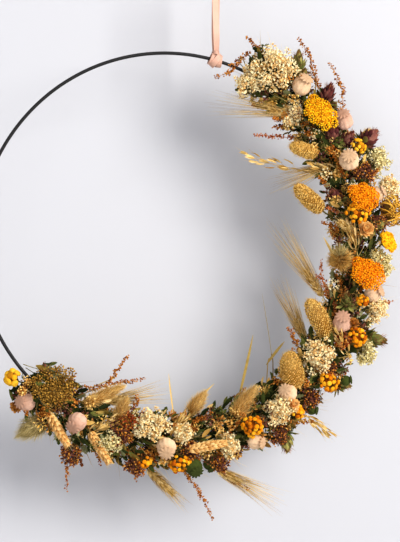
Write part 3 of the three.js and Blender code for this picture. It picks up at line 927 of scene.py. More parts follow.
def tuft_of(piece, shape, centre, out, count, ball, size, finish, spread=0.3, low=-0.5):
    """Copies of a small shape in an uneven ball that opens outwards, with painted shade that darkens it
    towards its middle.
    """
    around = spiral(count, 1.0, low) @ facing([out], piece.rng.random(1) * 6)[0].T
    reach = 0.35 + 0.75 * piece.rng.random((count, 1))
    # Painted shade: copies nearer the middle of the ball get a lower, darker tint.
    tints = np.clip(1.15 * reach[:, 0] - 0.28 + 0.35 * piece.rng.random(count), 0, 1)
    turns = facing(around + spread * piece.rng.normal(size=(count, 3)), piece.rng.random(count) * 6)
    sizes = np.asarray(size) * (0.7 + 0.6 * piece.rng.random((count, 1)))
    piece.put(shape, centre + around * reach * ball, turns, sizes, finish, tints)


def statice(piece, length, radius, finish="statice"):
    count = int(10 + radius * 0.95)
    places, outward = clumps(piece, count, length, radius)
    branch_to(piece, places, UP * 0.05 * length, 0.4, "stalk_green")
    for centre, out in zip(places, outward):
        ball = (0.20 * radius + 1.6) * piece.rng.uniform(0.75, 1.25)
        tuft_of(piece, FLORET, centre, out, 27, ball, [1.35, 1.35, 1.9], finish, 0.5)
    tips = outward[::2] * [1.08 * radius, 1.08 * radius, 0.58 * length] + UP * 0.55 * length
    branch_to(piece, tips, UP * 0.3 * length, 0.3, "stalk", 0.1)
    for centre, out in zip(tips, outward[::2]):
        tuft_of(piece, FLORET, centre, out, 9, 2.4, [1.2, 1.2, 1.9], finish, 0.5)


def oregano(piece, length, radius, finish="oregano"):
    count = int(8 + radius * 0.7)
    places, outward = clumps(piece, count, length, radius)
    branch_to(piece, places, UP * 0.05 * length, 0.4, "stalk_green")
    for centre, out in zip(places, outward):
        tuft_of(piece, SCALE, centre, out, 18, 0.22 * radius + 1.2, [3.4, 2.8, 3.4], finish, 0.6, -0.8)
        tuft_of(piece, SEED, centre + out * 1.5, out, 8, 0.22 * radius + 1.2, [0.9, 0.9, 1.5], "sorrel", 0.6)


def yarrow(piece, length, radius, finish="yarrow"):
    count = int(11 + radius * 0.6)
    turn = np.arange(count) * GOLDEN
    r = 0.80 * radius * np.sqrt((np.arange(count) + 0.4) / count) * piece.rng.uniform(0.86, 1.12, count)
    dome = 0.16 * radius * (1 - (r / radius) ** 2) + 0.10 * radius * piece.rng.random(count)
    places = np.stack([r * np.cos(turn), r * np.sin(turn), 0.66 * length + dome], 1)
    branch_to(piece, places - UP * 2, UP * 0.02 * length, 0.6, "stalk_green")
    ball = 0.30 * radius
    for centre in places:
        out = unit(UP * 1.3 + centre * [0.6 / radius, 0.6 / radius, 0])[0]
        around = spiral(40, 1.0, -0.1) @ facing([out], piece.rng.random(1) * 6)[0].T
        rise = 0.85 + 0.3 * piece.rng.random((40, 1))
        # Painted light and shade: beads higher on each small dome get a lighter tint, lower ones a darker
        # one.
        tints = np.clip(1.6 * (rise[:, 0] - 0.85) / 0.3 + 0.4 * (piece.rng.random(40) - 0.4), 0, 1)
        piece.put(BEAD, centre + around * ball * [1, 1, 0.7] * rise, facing(around, piece.rng.random(40) * 6),
                  [1.05, 1.05, 1.3] * (0.8 + 0.4 * piece.rng.random((40, 1))), finish, tints)
        few = around[::4]
        piece.put(FLORET, centre + few * ball * [1, 1, 0.75] * 1.08, facing(few, np.zeros(len(few))),
                  [1.2, 1.2, 1.1] * np.ones((len(few), 1)), finish)


def tansy(piece, length, radius, finish="tansy", button=2.35):
    count = int(2.9 * (0.5 * (radius + length / 2) / button) ** 2 * 0.5) + 4
    outward = unit(spiral(count, 1.0, -0.5) + 0.12 * piece.rng.normal(size=(count, 3)))
    reach = np.array([radius - button, radius - button, 0.5 * length - button])
    core = 0.55 * reach.min() + 0.4 * button
    # A dark core at the lowest tint under the buttons: painted shade in the gaps between them.
    piece.put(OVAL, [UP * (0.5 * length - core)], facing([UP], np.zeros(1)), [[core, core, 2 * core]],
              finish, tints=[0.0])
    places = outward * reach * (0.74 + 0.32 * piece.rng.random((count, 1))) + UP * 0.5 * length
    branch_to(piece, places - 1.2 * outward, UP * 0.02 * length, 0.45, "stalk_green")
    size = button * piece.rng.uniform(0.85, 1.2, (count, 1)) * [1.0, 1.0, 1.35]
    aims = unit(outward + 0.3 * piece.rng.normal(size=(count, 3)))
    piece.put(BUTTON, places, facing(aims, np.zeros(count)), size, finish)
    piece.put(SCALE, np.repeat(places - 0.6 * aims, 4, 0),
              facing(np.repeat(aims, 4, 0) + 0.9 * piece.rng.normal(size=(4 * count, 3)),
                     piece.rng.random(4 * count) * 6), [3.0, 2, 3.0] * np.ones((4 * count, 1)), "leaf_olive")


def large_tansy(piece, length, radius, finish="tansy_yellow"):
    tansy(piece, length, radius, finish, 3.6)


def poppy_pod(piece, length, radius, finish="pod"):
    turns = facing([UP], np.array([piece.rng.random() * 6]))
    piece.put(POD, [[0, 0, 0]], turns, [[radius, radius, length * 1.08]], finish, tints=[0.35])
    piece.stalk([[0, 0, -3], [0, 0, -1], [0, 0, 0.4]], 0.9, 0.2 * radius, "stalk", 8)


def safflower(piece, length, radius, finish="bract_purple"):
    piece.put(OVAL, [[0, 0, 0]], facing([UP], np.array([0.0])), [[0.8 * radius, 0.8 * radius, 0.8 * length]],
              finish, tints=[0.3])
    over_oval(piece, BRACT, 58, 0.78 * length, 0.82 * radius, [0.95 * radius, 0.8 * radius, 0.38 * length],
              finish, 0.0, 0.9, 0.18)
    over_oval(piece, BRACT, 16, 0.5 * length, 0.86 * radius, [1.0 * radius, 0.9 * radius, 0.5 * length],
              "bract_green", 0.0, 0.25, 0.5, 0.3)
    count = 60
    aims = unit(spiral(count, 1.0, 0.72) + 0.1 * piece.rng.normal(size=(count, 3)))
    piece.put(HAIR, UP * 0.62 * length + 0.12 * radius * aims * [1, 1, 0], facing(aims, np.zeros(count)),
              [0.28, 0.28, 0.40 * length] * (0.7 + 0.5 * piece.rng.random((count, 1))), "tuft")


def strawflower(piece, length, radius, finish="straw_petal"):
    start = UP * 0.35 * length
    for ring, (tilt, reach) in enumerate([(4, 1.0), (20, 0.96), (38, 0.84), (56, 0.66), (72, 0.5)]):
        count = 14
        angle = (np.arange(count) + 0.5 * (ring % 2)) * 2 * math.pi / count + 0.1 * piece.rng.random(count)
        radial = np.stack([np.cos(angle), np.sin(angle), np.zeros(count)], 1)
        lean = math.radians(tilt)
        aims = unit(radial * math.cos(lean) + UP * math.sin(lean) + 0.08 * piece.rng.normal(size=(count, 3)))
        inward = unit(UP * math.cos(lean) - radial * math.sin(lean))
        piece.put(PETAL, start + radial * 0.08 * radius, facing_up(aims, inward),
                  [radius, radius * 0.8, radius * reach] * (0.9 + 0.15 * piece.rng.random((count, 1))),
                  finish)
    tops = spiral(60, 1.0, 0.3)
    piece.put(BEAD, start + tops * [0.36 * radius, 0.36 * radius, 0.34 * length], facing(tops, np.zeros(60)),
              [0.5, 0.5, 1.0] * np.ones((60, 1)), "yarrow_orange")
    piece.put(OVAL, [[0, 0, -0.1 * length]], facing([UP], np.array([0.0])),
              [[0.4 * radius, 0.4 * radius, 0.7 * length]], "stalk_green")


def ear(piece, length, radius, finish, grain, awn, levels=10):
    """An ear in four rows: each spikelet is a fan of grains, and each grain has an awn."""
    piece.stalk([[0, 0, 0], [0, 0, 0.5 * length], [0, 0, 0.95 * length]], 0.9, 0.5, finish, 5)
    for level in range(2 * levels):
        t = (level + 0.5) / (2 * levels)
        swell = math.sin(math.pi * min(1, 0.22 + 0.70 * t))
        turn = (level % 2) * math.pi / 2
        for side in (turn, turn + math.pi):
            out = np.array([math.cos(side), math.sin(side), 0.0])
            across = np.array([-out[1], out[0], 0.0])
            fan = np.array([-1.0, 0.0, 1.0])[:, None]
            aims = unit(UP + out * (0.75 - 0.35 * t) + across * fan * 0.42
                        + 0.05 * piece.rng.normal(size=(3, 3)))
            starts = out * 0.22 * radius * swell + across * fan * 0.10 * radius + UP * t * 0.9 * length
            size = np.array([[grain[0], grain[0] * 0.8, grain[1]]]) * (0.7 + 0.35 * swell) * np.ones((3, 1))
            piece.put(GRAIN, starts, facing_up(aims, np.repeat([out], 3, 0)), size, finish)
            tips = starts + aims * size[:, 2:] * 0.9
            spread = unit(UP + out * 0.05 + 0.16 * (aims - UP) + 0.035 * piece.rng.normal(size=(3, 3)))
            reach = awn[1] * piece.rng.uniform(0.6, 1.15, 3)
            piece.put(HAIR, tips, facing(spread, np.zeros(3)),
                      np.stack([np.full(3, awn[0]), np.full(3, awn[0]), reach], 1), "straw")


def wheat(piece, length, radius, finish="wheat"):
    ear(piece, length, radius, finish, (1.55, 6.4), (0.16, 5.0), 8)


def barley(piece, length, radius, finish="straw"):
    ear(piece, length, radius, finish, (1.0, 6.5), (0.24, 1.75 * length), 6)


def short_barley(piece, length, radius, finish="straw"):
    ear(piece, length, radius, finish, (1.15, 6.5), (0.22, 0.5 * length), 7)


def canary_grass(piece, length, radius, finish="canary"):
    piece.put(OVAL, [[0, 0, 0]], facing([UP], np.array([0.0])),
              [[0.86 * radius, 0.86 * radius, 0.96 * length]],
              finish, tints=[0.1])
    over_oval(piece, SEED, 640, 0.97 * length, 0.9 * radius, [0.85, 0.7, 2.2], finish, 0.0, 0.99, 0.5, 0.6,
              BLUNT_OUTLINE)
    over_oval(piece, HAIR, 460, 0.97 * length, 0.9 * radius, [0.17, 0.17, 5.0], finish, 0.0, 1.0, 0.5, 0.5,
              BLUNT_OUTLINE)


def bunny_tail(piece, length, radius, finish="bunny"):
    piece.put(OVAL, [[0, 0, 0]], facing([UP], np.array([0.0])),
              [[0.62 * radius, 0.62 * radius, 0.85 * length]],
              finish, tints=[0.1])
    over_oval(piece, SCALE, 220, 0.88 * length, 0.64 * radius, [2.2, 1.8, 4.0], finish, 0.0, 1.0, 0.3, 0.3)
    over_oval(piece, HAIR, 1300, 0.88 * length, 0.62 * radius, [0.16, 0.16, 0.62 * radius + 2],
              finish, 0.0, 1.0,
              0.42, 0.4)


def thistle(piece, length, radius, finish="thistle"):
    piece.put(OVAL, [[0, 0, -0.1 * length]], facing([UP], np.array([0.0])),
              [[0.5 * radius, 0.5 * radius, 0.8 * length]], finish, tints=[0.2])
    count = 900
    aims = unit(spiral(count, 0.9, -0.5) + 0.12 * piece.rng.normal(size=(count, 3)))
    piece.put(HAIR, UP * 0.35 * length + aims * 0.35 * radius, facing(aims, np.zeros(count)),
              [0.3, 0.3, 0.62 * radius] * (0.8 + 0.4 * piece.rng.random((count, 1))), finish)
    tuft = unit(spiral(160, 1.0, 0.75) + 0.1 * piece.rng.normal(size=(160, 3)))
    piece.put(HAIR, UP * 0.5 * length + tuft * 2, facing(tuft, np.zeros(160)),
              [0.25, 0.25, 0.6 * length] * (0.8 + 0.4 * piece.rng.random((160, 1))), "bunny_cream")


def wild_carrot(piece, length, radius, finish="carrot"):
    """An umbel: rays rise to small umbels of seeds, the outer ones curled up round the middle."""
    count = 24
    turn = np.arange(count) * GOLDEN
    share = np.sqrt((np.arange(count) + 0.3) / count)
    r = 0.86 * radius * share
    z = length * (0.55 + 0.30 * share ** 2)
    tops = np.stack([r * np.cos(turn), r * np.sin(turn), z], 1)
    start = UP * 0.05 * length
    for top in tops:
        middle = start + (top - start) * [0.75, 0.75, 0.35]
        piece.stalk(smooth_path([start, middle, top], 6), 0.5, 0.35, finish, 4)
        outer = 26
        around = unit(spiral(outer, 1.0, -0.1) @ facing([unit(top + UP * 12)[0]], np.array([0.0]))[0].T)
        reach = 0.15 * radius * (0.6 + 0.6 * piece.rng.random((outer, 1)))
        ends = top + around * reach * 1.3
        piece.put(HAIR, np.repeat(top[None], outer, 0), facing(around, np.zeros(outer)),
                  np.hstack([np.full((outer, 2), 0.16), reach * 1.3]), finish)
        piece.put(SEED, ends, facing(around, np.zeros(outer)),
                  [0.85, 0.7, 1.9] * (0.7 + 0.6 * piece.rng.random((outer, 1))), finish)
        piece.put(HAIR, ends, facing(around + 0.5 * piece.rng.normal(size=(outer, 3)), np.zeros(outer)),
                  [0.14, 0.14, 2.6] * np.ones((outer, 1)), "carrot")
    under = np.arange(11) * 2 * math.pi / 11
    radial = np.stack([np.cos(under), np.sin(under), np.zeros(11)], 1)
    piece.put(LEAF, np.repeat(start[None], 11, 0),
              facing_up(unit(radial + UP * 0.2), np.repeat([-UP], 11, 0)),
              [9, 6, 0.55 * radius] * np.ones((11, 1)), "leaf_olive")


def nest_umbel(piece, length, radius, finish="carrot_gold"):
    """An umbel gone to seed, its rays curled over into a hollow nest with painted shade inside."""
    # A near-black core at the lowest tint inside the nest: painted shade in its hollow.
    piece.put(OVAL, [[0, 0, 0]], facing([UP], np.zeros(1)), [[0.55 * radius, 0.55 * radius, 0.6 * length]],
              "carrot", tints=[0.0])
    count = 34
    for k in range(count):
        turn = k * GOLDEN
        side = np.array([math.cos(turn), math.sin(turn), 0.0])
        reach = radius * (0.80 + 0.2 * piece.rng.random())
        twist = np.array([-side[1], side[0], 0.0]) * radius * 0.35 * (piece.rng.random() - 0.3)
        route = [UP * 0, side * 0.6 * reach + UP * 0.12 * length,
                 side * reach + UP * 0.55 * length + 0.5 * twist,
                 side * 0.8 * reach + UP * length + twist,
                 side * 0.35 * reach + UP * 1.02 * length + 1.6 * twist]
        piece.stalk(smooth_path(route, 14), 0.85, 0.55, finish, 5)
        end = route[-1]
        aims = unit(spiral(9, 1, -0.8) + 0.3 * piece.rng.normal(size=(9, 3)))
        piece.put(SEED, end + aims * 1.4, facing(aims, np.zeros(9)),
                  [0.8, 0.7, 1.8] * np.ones((9, 1)), finish)


def oats(piece, length, radius, finish="straw"):
    bend = piece.rng.normal() * 0.06 * length
    spine = smooth_path([[0, 0, -0.35 * length], [0, 0, 0], [bend, 0, 0.5 * length], [0, bend, length]], 14)
    piece.stalk(spine, 0.5, 0.25, finish, 5)
    for k in range(12):
        t = (k + 1.5) / 13.5
        start = spine[int(4 + t * 10)]
        side = np.array([math.cos(k * 2.4), math.sin(k * 2.4), 0.0])
        end = start + side * radius * (0.7 - 0.3 * t) * piece.rng.uniform(0.6, 1.1) + UP * 0.11 * length
        piece.stalk(smooth_path([start, (start + end) / 2 + UP * 2, end], 4), 0.2, 0.16, finish, 3)
        for turn in (-0.5, 0.5):
            aim = unit(UP * 1.1 + side * 0.35 + 0.25 * turn * np.cross(side, UP))
            piece.put(LEAF, end, facing_up(aim, [side]), [[8.5, 6, 11 + 3 * piece.rng.random()]], finish)
        piece.put(GRAIN, end, facing(aim, np.zeros(1)), [[0.9, 0.8, 9]], finish)
        piece.put(HAIR, end + aim[0] * 8, facing(aim, np.zeros(1)), [[0.13, 0.13, 12]], finish)


def sprig(piece, spine, reach, finish, density):
    """A stalk with small winged seeds in uneven bunches round it."""
    spine = np.asarray(spine)
    piece.stalk(spine, 0.42, 0.18, finish, 4)
    length = float(np.sum(np.linalg.norm(np.diff(spine, axis=0), axis=1)))
    count = max(6, int(length * density))
    t = np.sort(piece.rng.random(count))
    bunch = np.round(t * length / 3.2) * 3.2 / length
    bunched = np.where(piece.rng.random(count) < 0.75, bunch, t)
    t = np.clip(bunched + 0.012 * piece.rng.normal(size=count), 0, 1)
    steps = np.linspace(0, 1, len(spine))
    centres = np.stack([np.interp(t, steps, spine[:, k]) for k in range(3)], 1)
    side = unit(piece.rng.normal(size=(count, 3)))
    far = reach * (1 - 0.55 * t[:, None]) * (0.3 + 0.8 * piece.rng.random((count, 1)))
    places = centres + side * far
    size = [0.95, 0.7, 1.5] * (0.7 + 0.6 * piece.rng.random((count, 1)))
    piece.put(SEED, places, facing(side, np.zeros(count)), size, finish)
    piece.put(HAIR, centres[::2], facing(side[::2], np.zeros(len(side[::2]))),
              np.hstack([np.full((len(side[::2]), 2), 0.14), far[::2]]), finish)


def sorrel(piece, length, radius, finish="sorrel"):
    bend = piece.rng.normal(size=2) * 0.09 * length
    spine = smooth_path([[0, 0, -0.25 * length], [0, 0, 0], [bend[0], bend[1], 0.55 * length],
                         [0.4 * bend[1], -0.6 * bend[0], length]], 20)
    sprig(piece, spine, 0.7 * radius, finish, 1.9)
    for k in range(5):
        start = spine[6 + 2 * k]
        turn = k * 2.4 + piece.rng.random()
        side = np.array([math.cos(turn), math.sin(turn), 0.0])
        reach = radius * piece.rng.uniform(0.6, 1.1)
        end = start + side * reach + UP * reach * piece.rng.uniform(1.0, 2.0)
        sprig(piece, smooth_path([start, start + side * 0.6 * reach + UP * 0.4 * reach, end], 6),
              0.34 * radius, finish, 1.7)


def grass_blade(piece, length, radius, finish="blade"):
    width = 1.3 * radius / 0.30
    piece.put(LEAF, [[0, 0, -0.1 * length]], facing([UP], np.array([0.3])),
              [[width, 0.35 * width, 1.15 * length]],
              finish, tints=[0.55])


HEADS = {
    "statice": statice, "oregano": oregano, "yarrow": yarrow, "tansy": tansy, "poppy_pod": poppy_pod,
    "safflower": safflower, "strawflower": strawflower, "wheat": wheat, "barley": barley,
    "canary_grass": canary_grass, "bunny_tail": bunny_tail, "thistle": thistle, "wild_carrot": wild_carrot,
    "oats": oats, "sorrel": sorrel, "grass_blade": grass_blade, "nest_umbel": nest_umbel,
    "large_tansy": large_tansy, "short_barley": short_barley,
}

# Every bound flower with a solid of its own: plant, clock angle, out and front of the middle of
# its head, the clock direction that it points in, its lean to the front, its length and width.
FLOWERS = [
    ("poppy_pod", 39, 16, 22, 20, 45, 24, 20),
    ("poppy_pod", 54, 25, 22, 330, 40, 23, 19),
    ("poppy_pod", 64, 6, 30, 320, 60, 24, 21),
    ("poppy_pod", 103, 22, 18, 60, 40, 22, 18),
    ("poppy_pod", 114, -4, 26, 340, 50, 24, 20),
    ("poppy_pod", 142, -6, 26, 300, 45, 23, 18),
    ("poppy_pod", 157, 21, 20, 100, 45, 20, 16),
    ("poppy_pod", 175, 29, 20, 160, 55, 20, 18),
    ("poppy_pod", 183, 7, 28, 200, 60, 23, 20),
    ("poppy_pod", 210, 6, 28, 230, 40, 23, 19),
    ("poppy_pod", 224, 20, 16, 280, 40, 22, 18),
    ("yarrow", 48, 2, 32, 25, 55, 17, 38),
    ("yarrow", 76, 6, 33, 350, 60, 14, 32),
    ("yarrow", 89, 28, 24, 60, 50, 12, 22),
    ("yarrow", 99, 4, 34, 10, 55, 17, 38),
    ("tansy", 80, -4, 36, 350, 50, 18, 26),
    ("tansy", 116, 18, 24, 70, 40, 22, 22),
    ("tansy", 131, 17, 26, 60, 50, 20, 24),
    ("tansy", 157, 2, 32, 160, 60, 22, 25),
    ("tansy", 179, 24, 22, 170, 40, 16, 24),
    ("tansy", 231, 13, 8, 300, 20, 18, 18),
    ("safflower", 35, 36, 10, 2, 10, 24, 15),
    ("safflower", 46, 31, 16, 12, 20, 24, 15),
    ("safflower", 62, 48, 0, 45, 5, 26, 19),
    ("safflower", 114, 44, 2, 95, 5, 28, 18),
    ("safflower", 149, 40, 6, 175, 10, 24, 15),
    ("strawflower", 85, 2, 36, 10, 65, 9, 20),
    ("wheat", 171, 8, 32, 80, 10, 42, 13),
    ("wheat", 201, 20, 24, 150, 15, 40, 13),
    ("wheat", 213, 22, 22, 150, 15, 42, 13),
    ("canary_grass", 54, -28, 18, 288, 5, 30, 14),
    ("canary_grass", 71, -44, 10, 310, 5, 40, 17),
    ("canary_grass", 116, -27, 20, 326, 10, 48, 20),
    ("canary_grass", 136, -20, 22, 345, 15, 40, 24),
    ("bunny_tail", 155, -22, 18, 38, 5, 38, 17),
    ("bunny_tail", 170, -34, 2, 38, 0, 28, 15),
    ("bunny_tail", 205, -31, 12, 66, 0, 48, 15),
    ("bunny_tail", 218, 34, 4, 240, 5, 32, 26),
    ("thistle", 94, -22, 24, 345, 35, 22, 30),
    ("wild_carrot", 81, 41, 14, 80, 65, 16, 36),
    ("wild_carrot", 221, -9, 22, 340, 50, 22, 50),
    ("barley", 40, -17, 16, 276, 0, 36, 10),
    ("barley", 104, -40, 4, 325, 0, 36, 10),
    ("barley", 182, 46, -5, 135, 0, 42, 9),
    ("oats", 52, -57, 0, 284, 0, 56, 14),
    ("sorrel", 18, -4, 8, 236, 10, 38, 9),
    ("sorrel", 37, 50, -6, 338, -5, 46, 10),
    ("sorrel", 48, 47, -9, 346, -5, 64, 10),
    ("sorrel", 46, -37, 8, 270, 0, 60, 9),
    ("sorrel", 173, 64, -6, 151, -5, 56, 9),
    ("statice", 30, 8, 18, 350, 35, 44, 50),
    ("statice", 68, 40, 0, 60, 0, 28, 30),
    ("statice", 127, -6, 24, 310, 30, 30, 34),
    ("statice", 188, -12, 22, 350, 30, 30, 36),
    ("oregano", 206, 34, 0, 210, 0, 26, 28),
    ("grass_blade", 129, -63, -2, 352, 0, 80, 7),
]

# Heads that aren't in their plant's usual finish or form.
SPECIAL_FINISH = {
    "poppy_pod_2": "pod_pink", "poppy_pod_5": "pod_pink", "poppy_pod_8": "pod_green",
    "poppy_pod_10": "pod_pink", "poppy_pod_11": "pod_pink", "yarrow_4": "yarrow_orange",
    "yarrow_2": "yarrow_orange", "tansy_6": "tansy_yellow", "safflower_1": "bract_green",
    "safflower_4": "bract_green", "safflower_5": "bract_green", "bunny_tail_4": "bunny_cream",
    "statice_2": "statice_green", "sorrel_4": "sorrel_pink",
}
SPECIAL_FORM = {"wild_carrot_1": "nest_umbel", "tansy_6": "large_tansy", "barley_3": "short_barley"}

# Smaller flowers tucked between the others, in the same order, with their finish.
TUCKED = [
    ("statice", 26, -14, 12, 330, 10, 26, 26, "statice"),
    ("statice", 43, -13, 16, 300, 10, 22, 24, "statice"),
    ("statice", 75, 46, 2, 70, 10, 20, 20, "statice"),
    ("statice", 95, 22, 16, 60, 25, 24, 30, "statice_green"),
    ("statice", 107, 30, 10, 80, 15, 22, 26, "statice"),
    ("statice", 118, 37, 4, 95, 10, 20, 26, "statice_green"),
    ("statice", 147, 5, 24, 320, 45, 24, 30, "statice"),
    ("statice", 165, 14, 18, 60, 30, 20, 24, "statice"),
    ("statice", 199, 12, 20, 100, 30, 20, 24, "statice_green"),
    ("statice", 178, -6, 20, 20, 30, 20, 22, "statice"),
    ("oregano", 70, 18, 20, 20, 20, 24, 24, "oregano"),
    ("oregano", 84, 20, 18, 60, 20, 22, 22, "oregano"),
    ("oregano", 129, 6, 20, 40, 20, 24, 26, "oregano"),
    ("oregano", 138, 16, 14, 80, 20, 26, 26, "oregano"),
    ("oregano", 119, 6, 22, 340, 30, 16, 18, "oregano_red"),
    ("oregano", 150, 24, 14, 120, 10, 24, 26, "oregano"),
    ("oregano", 168, 28, 12, 140, 15, 22, 24, "oregano"),
    ("oregano", 195, -12, 18, 20, 20, 20, 22, "oregano_red"),
    ("oregano", 197, 4, 22, 90, 20, 22, 22, "oregano"),
    ("oregano", 190, 26, 12, 150, 15, 22, 26, "oregano"),
    ("oregano", 176, 12, 20, 60, 20, 20, 22, "oregano"),
    ("tansy", 62, 24, 22, 40, 30, 14, 20, "tansy_yellow"),
    ("tansy", 106, 8, 30, 340, 40, 10, 14, "tansy"),
    ("tansy", 143, 17, 22, 60, 30, 16, 16, "tansy"),
    ("tansy", 188, 24, 20, 160, 30, 12, 16, "tansy"),
    ("poppy_pod", 76, 28, 16, 60, 30, 19, 16, "pod"),
    ("poppy_pod", 127, 36, 10, 80, 30, 13, 11, "pod_green"),
    ("poppy_pod", 139, 28, 14, 100, 35, 13, 11, "pod_green"),
    ("poppy_pod", 170, 30, 10, 160, 35, 16, 14, "pod_green"),
    ("safflower", 38, 24, 16, 20, 20, 20, 13, "bract_green"),
    ("safflower", 55, 8, 22, 340, 40, 22, 16, "bract_purple"),
    ("safflower", 59, 20, 20, 20, 35, 20, 13, "bract_purple"),
    ("safflower", 73, -16, 14, 320, 10, 17, 11, "bract_purple"),
    ("safflower", 84, 24, 22, 60, 30, 16, 12, "bract_green"),
    ("safflower", 107, -8, 26, 340, 40, 18, 12, "bract_green"),
    ("safflower", 128, 40, -2, 100, 0, 18, 12, "bract_green"),
    ("strawflower", 143, 6, 30, 40, 60, 8, 16, "straw_petal"),
    ("strawflower", 113, 6, 32, 20, 60, 7, 13, "brown_petal"),
    ("strawflower", 225, 30, 14, 240, 45, 7, 14, "brown_petal"),
    ("canary_grass", 62, 44, -2, 20, 0, 20, 12, "canary"),
    ("bunny_tail", 198, -24, 16, 20, 10, 24, 15, "bunny"),
    ("wheat", 84, -14, 26, 300, 15, 26, 10, "straw"),
    ("barley", 63, -18, 8, 250, 0, 26, 8, "straw"),
    ("barley", 122, -34, 2, 335, 0, 26, 8, "straw"),
    ("barley", 165, 50, -6, 118, 0, 30, 8, "straw"),
    ("barley", 200, -30, 0, 80, 0, 26, 8, "straw"),
    ("oats", 64, -16, 14, 280, 10, 30, 12, "straw"),
    ("oats", 140, 46, 0, 130, 0, 28, 12, "straw"),
    ("oats", 88, -8, 26, 340, 15, 26, 12, "straw"),
    ("oats", 180, -10, 22, 30, 20, 26, 12, "straw"),
    ("oats", 203, 2, 20, 60, 15, 26, 12, "straw"),
    ("oats", 120, 10, 24, 330, 20, 26, 12, "straw"),
    ("sorrel", 62, -4, 26, 330, 10, 30, 9, "sorrel"),
    ("sorrel", 80, -20, 14, 300, 5, 34, 9, "sorrel_pink"),
    ("sorrel", 103, -29, 14, 339, 5, 48, 9, "sorrel_pink"),
    ("sorrel", 104, 42, -2, 90, 0, 22, 8, "sorrel_pink"),
    ("sorrel", 126, -38, 8, 330, 5, 22, 8, "sorrel"),
    ("sorrel", 164, 50, -4, 128, 0, 42, 8, "sorrel"),
    ("sorrel", 200, -50, 4, 78, 0, 46, 8, "sorrel"),
    ("sorrel", 203, -62, 0, 40, 0, 30, 7, "sorrel"),
    ("sorrel", 205, 52, -4, 182, 0, 42, 8, "sorrel"),
    ("sorrel", 190, 28, 16, 150, 15, 26, 10, "sorrel"),
    ("sorrel", 172, -18, 16, 60, 10, 34, 9, "sorrel"),
    ("sorrel", 194, -30, 8, 20, 0, 24, 8, "sorrel"),
    ("sorrel", 29, 24, 0, 300, 5, 26, 8, "sorrel"),
    ("grass_blade", 147, -50, 2, 14, 0, 72, 6, "blade"),
    ("grass_blade", 134, -40, 0, 38, 0, 30, 6, "blade"),
    ("grass_blade", 180, -46, 2, 352, 0, 46, 4, "straw"),
    ("grass_blade", 168, -40, 0, 50, 0, 40, 4, "straw"),
    ("grass_blade", 62, -24, 6, 262, 0, 44, 5, "straw"),
    ("grass_blade", 92, -26, 8, 330, 0, 40, 5, "straw"),
    ("grass_blade", 93, -4, 30, 20, 15, 26, 8, "bunny_cream"),
]


def clock_out_front(point):
    """The clock angle of a point, and how far out and in front of the rod it is."""
    away = point - HOOP_CENTRE
    clock = math.degrees(math.atan2(away[0], away[2])) % 360
    return clock, math.hypot(away[0], away[2]) - HOOP_RADIUS, -away[1]


def add_stem(piece, base, aim, length, thickness, finish):
    """The stem: out of the head's base, onto the rod and along it under the wire."""
    clock, out, front = clock_out_front(base)
    turn = math.atan2(front, out) + 0.5 * piece.rng.normal()
    runs_back = clock > 213 or aim @ clockwise(clock) > 0.5
    way = -1 if runs_back else 1
    onto = clock + way * max(0.9 * math.hypot(out, front), 12) / per_degree
    limit = FLOWERS_FROM + 1 if way < 0 else FLOWERS_TO - 1
    end = onto + way * STEM_RUN / per_degree
    onto, end = [min(max(value, FLOWERS_FROM + 1), FLOWERS_TO - 1) for value in (onto, end)]
    if abs(end - onto) < 2:
        onto = limit - way * 2.5
        end = limit
    bound = [round_rod(onto + (end - onto) * share, turn, BOUND_RADIUS) for share in (0, 0.5, 1)]
    route = smooth_path([base + aim * 0.15 * length, base, *bound], 18)
    piece.stalk(route, thickness, thickness, finish, 5)


def flower(name, plant, row, finish, seed):
    """One flower with its stem, as an object in its place on the wreath."""
    clock, out, front, points, lean, length, width = row
    aim = direction(points, lean)
    base = place(clock, out, front) - aim * length / 2
    piece = Piece(seed)
    extra = {"finish": finish} if finish else {}
    HEADS[plant](piece, length, width / 2, **extra)
    piece.to_wreath(base, aim, roll=seed * 1.7)
    thin = plant in ("sorrel", "barley", "oats", "grass_blade")
    add_stem(piece, base, aim, length, 0.55 if thin else 0.85, "stalk" if thin else "stalk_green")
    return piece.make(name)


counts = {}
for seed, (plant, *row) in enumerate(FLOWERS):
    counts[plant] = counts.get(plant, 0) + 1
    node = f"{plant}_{counts[plant]}"
    form = SPECIAL_FORM.get(node, plant)
    made = flower(node + "_bloom", form, row, SPECIAL_FINISH.get(node), seed + 1)
    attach(made, "root")
    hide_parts(node)

for seed, (plant, *row, finish) in enumerate(TUCKED):
    made = flower(f"tucked_{plant}_{seed + 1}", plant, row, finish, seed + 301)
    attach(made, "root")


# ---------------------------------------------------------------- leaves and dark filling

FILLED_FROM = 25
FILLED_TO = 227
FILLINGS = 20


# How many large leaves, and how many bristles, each stretch of filling has.
BACKING_LEAVES = 38
BRISTLES = 26


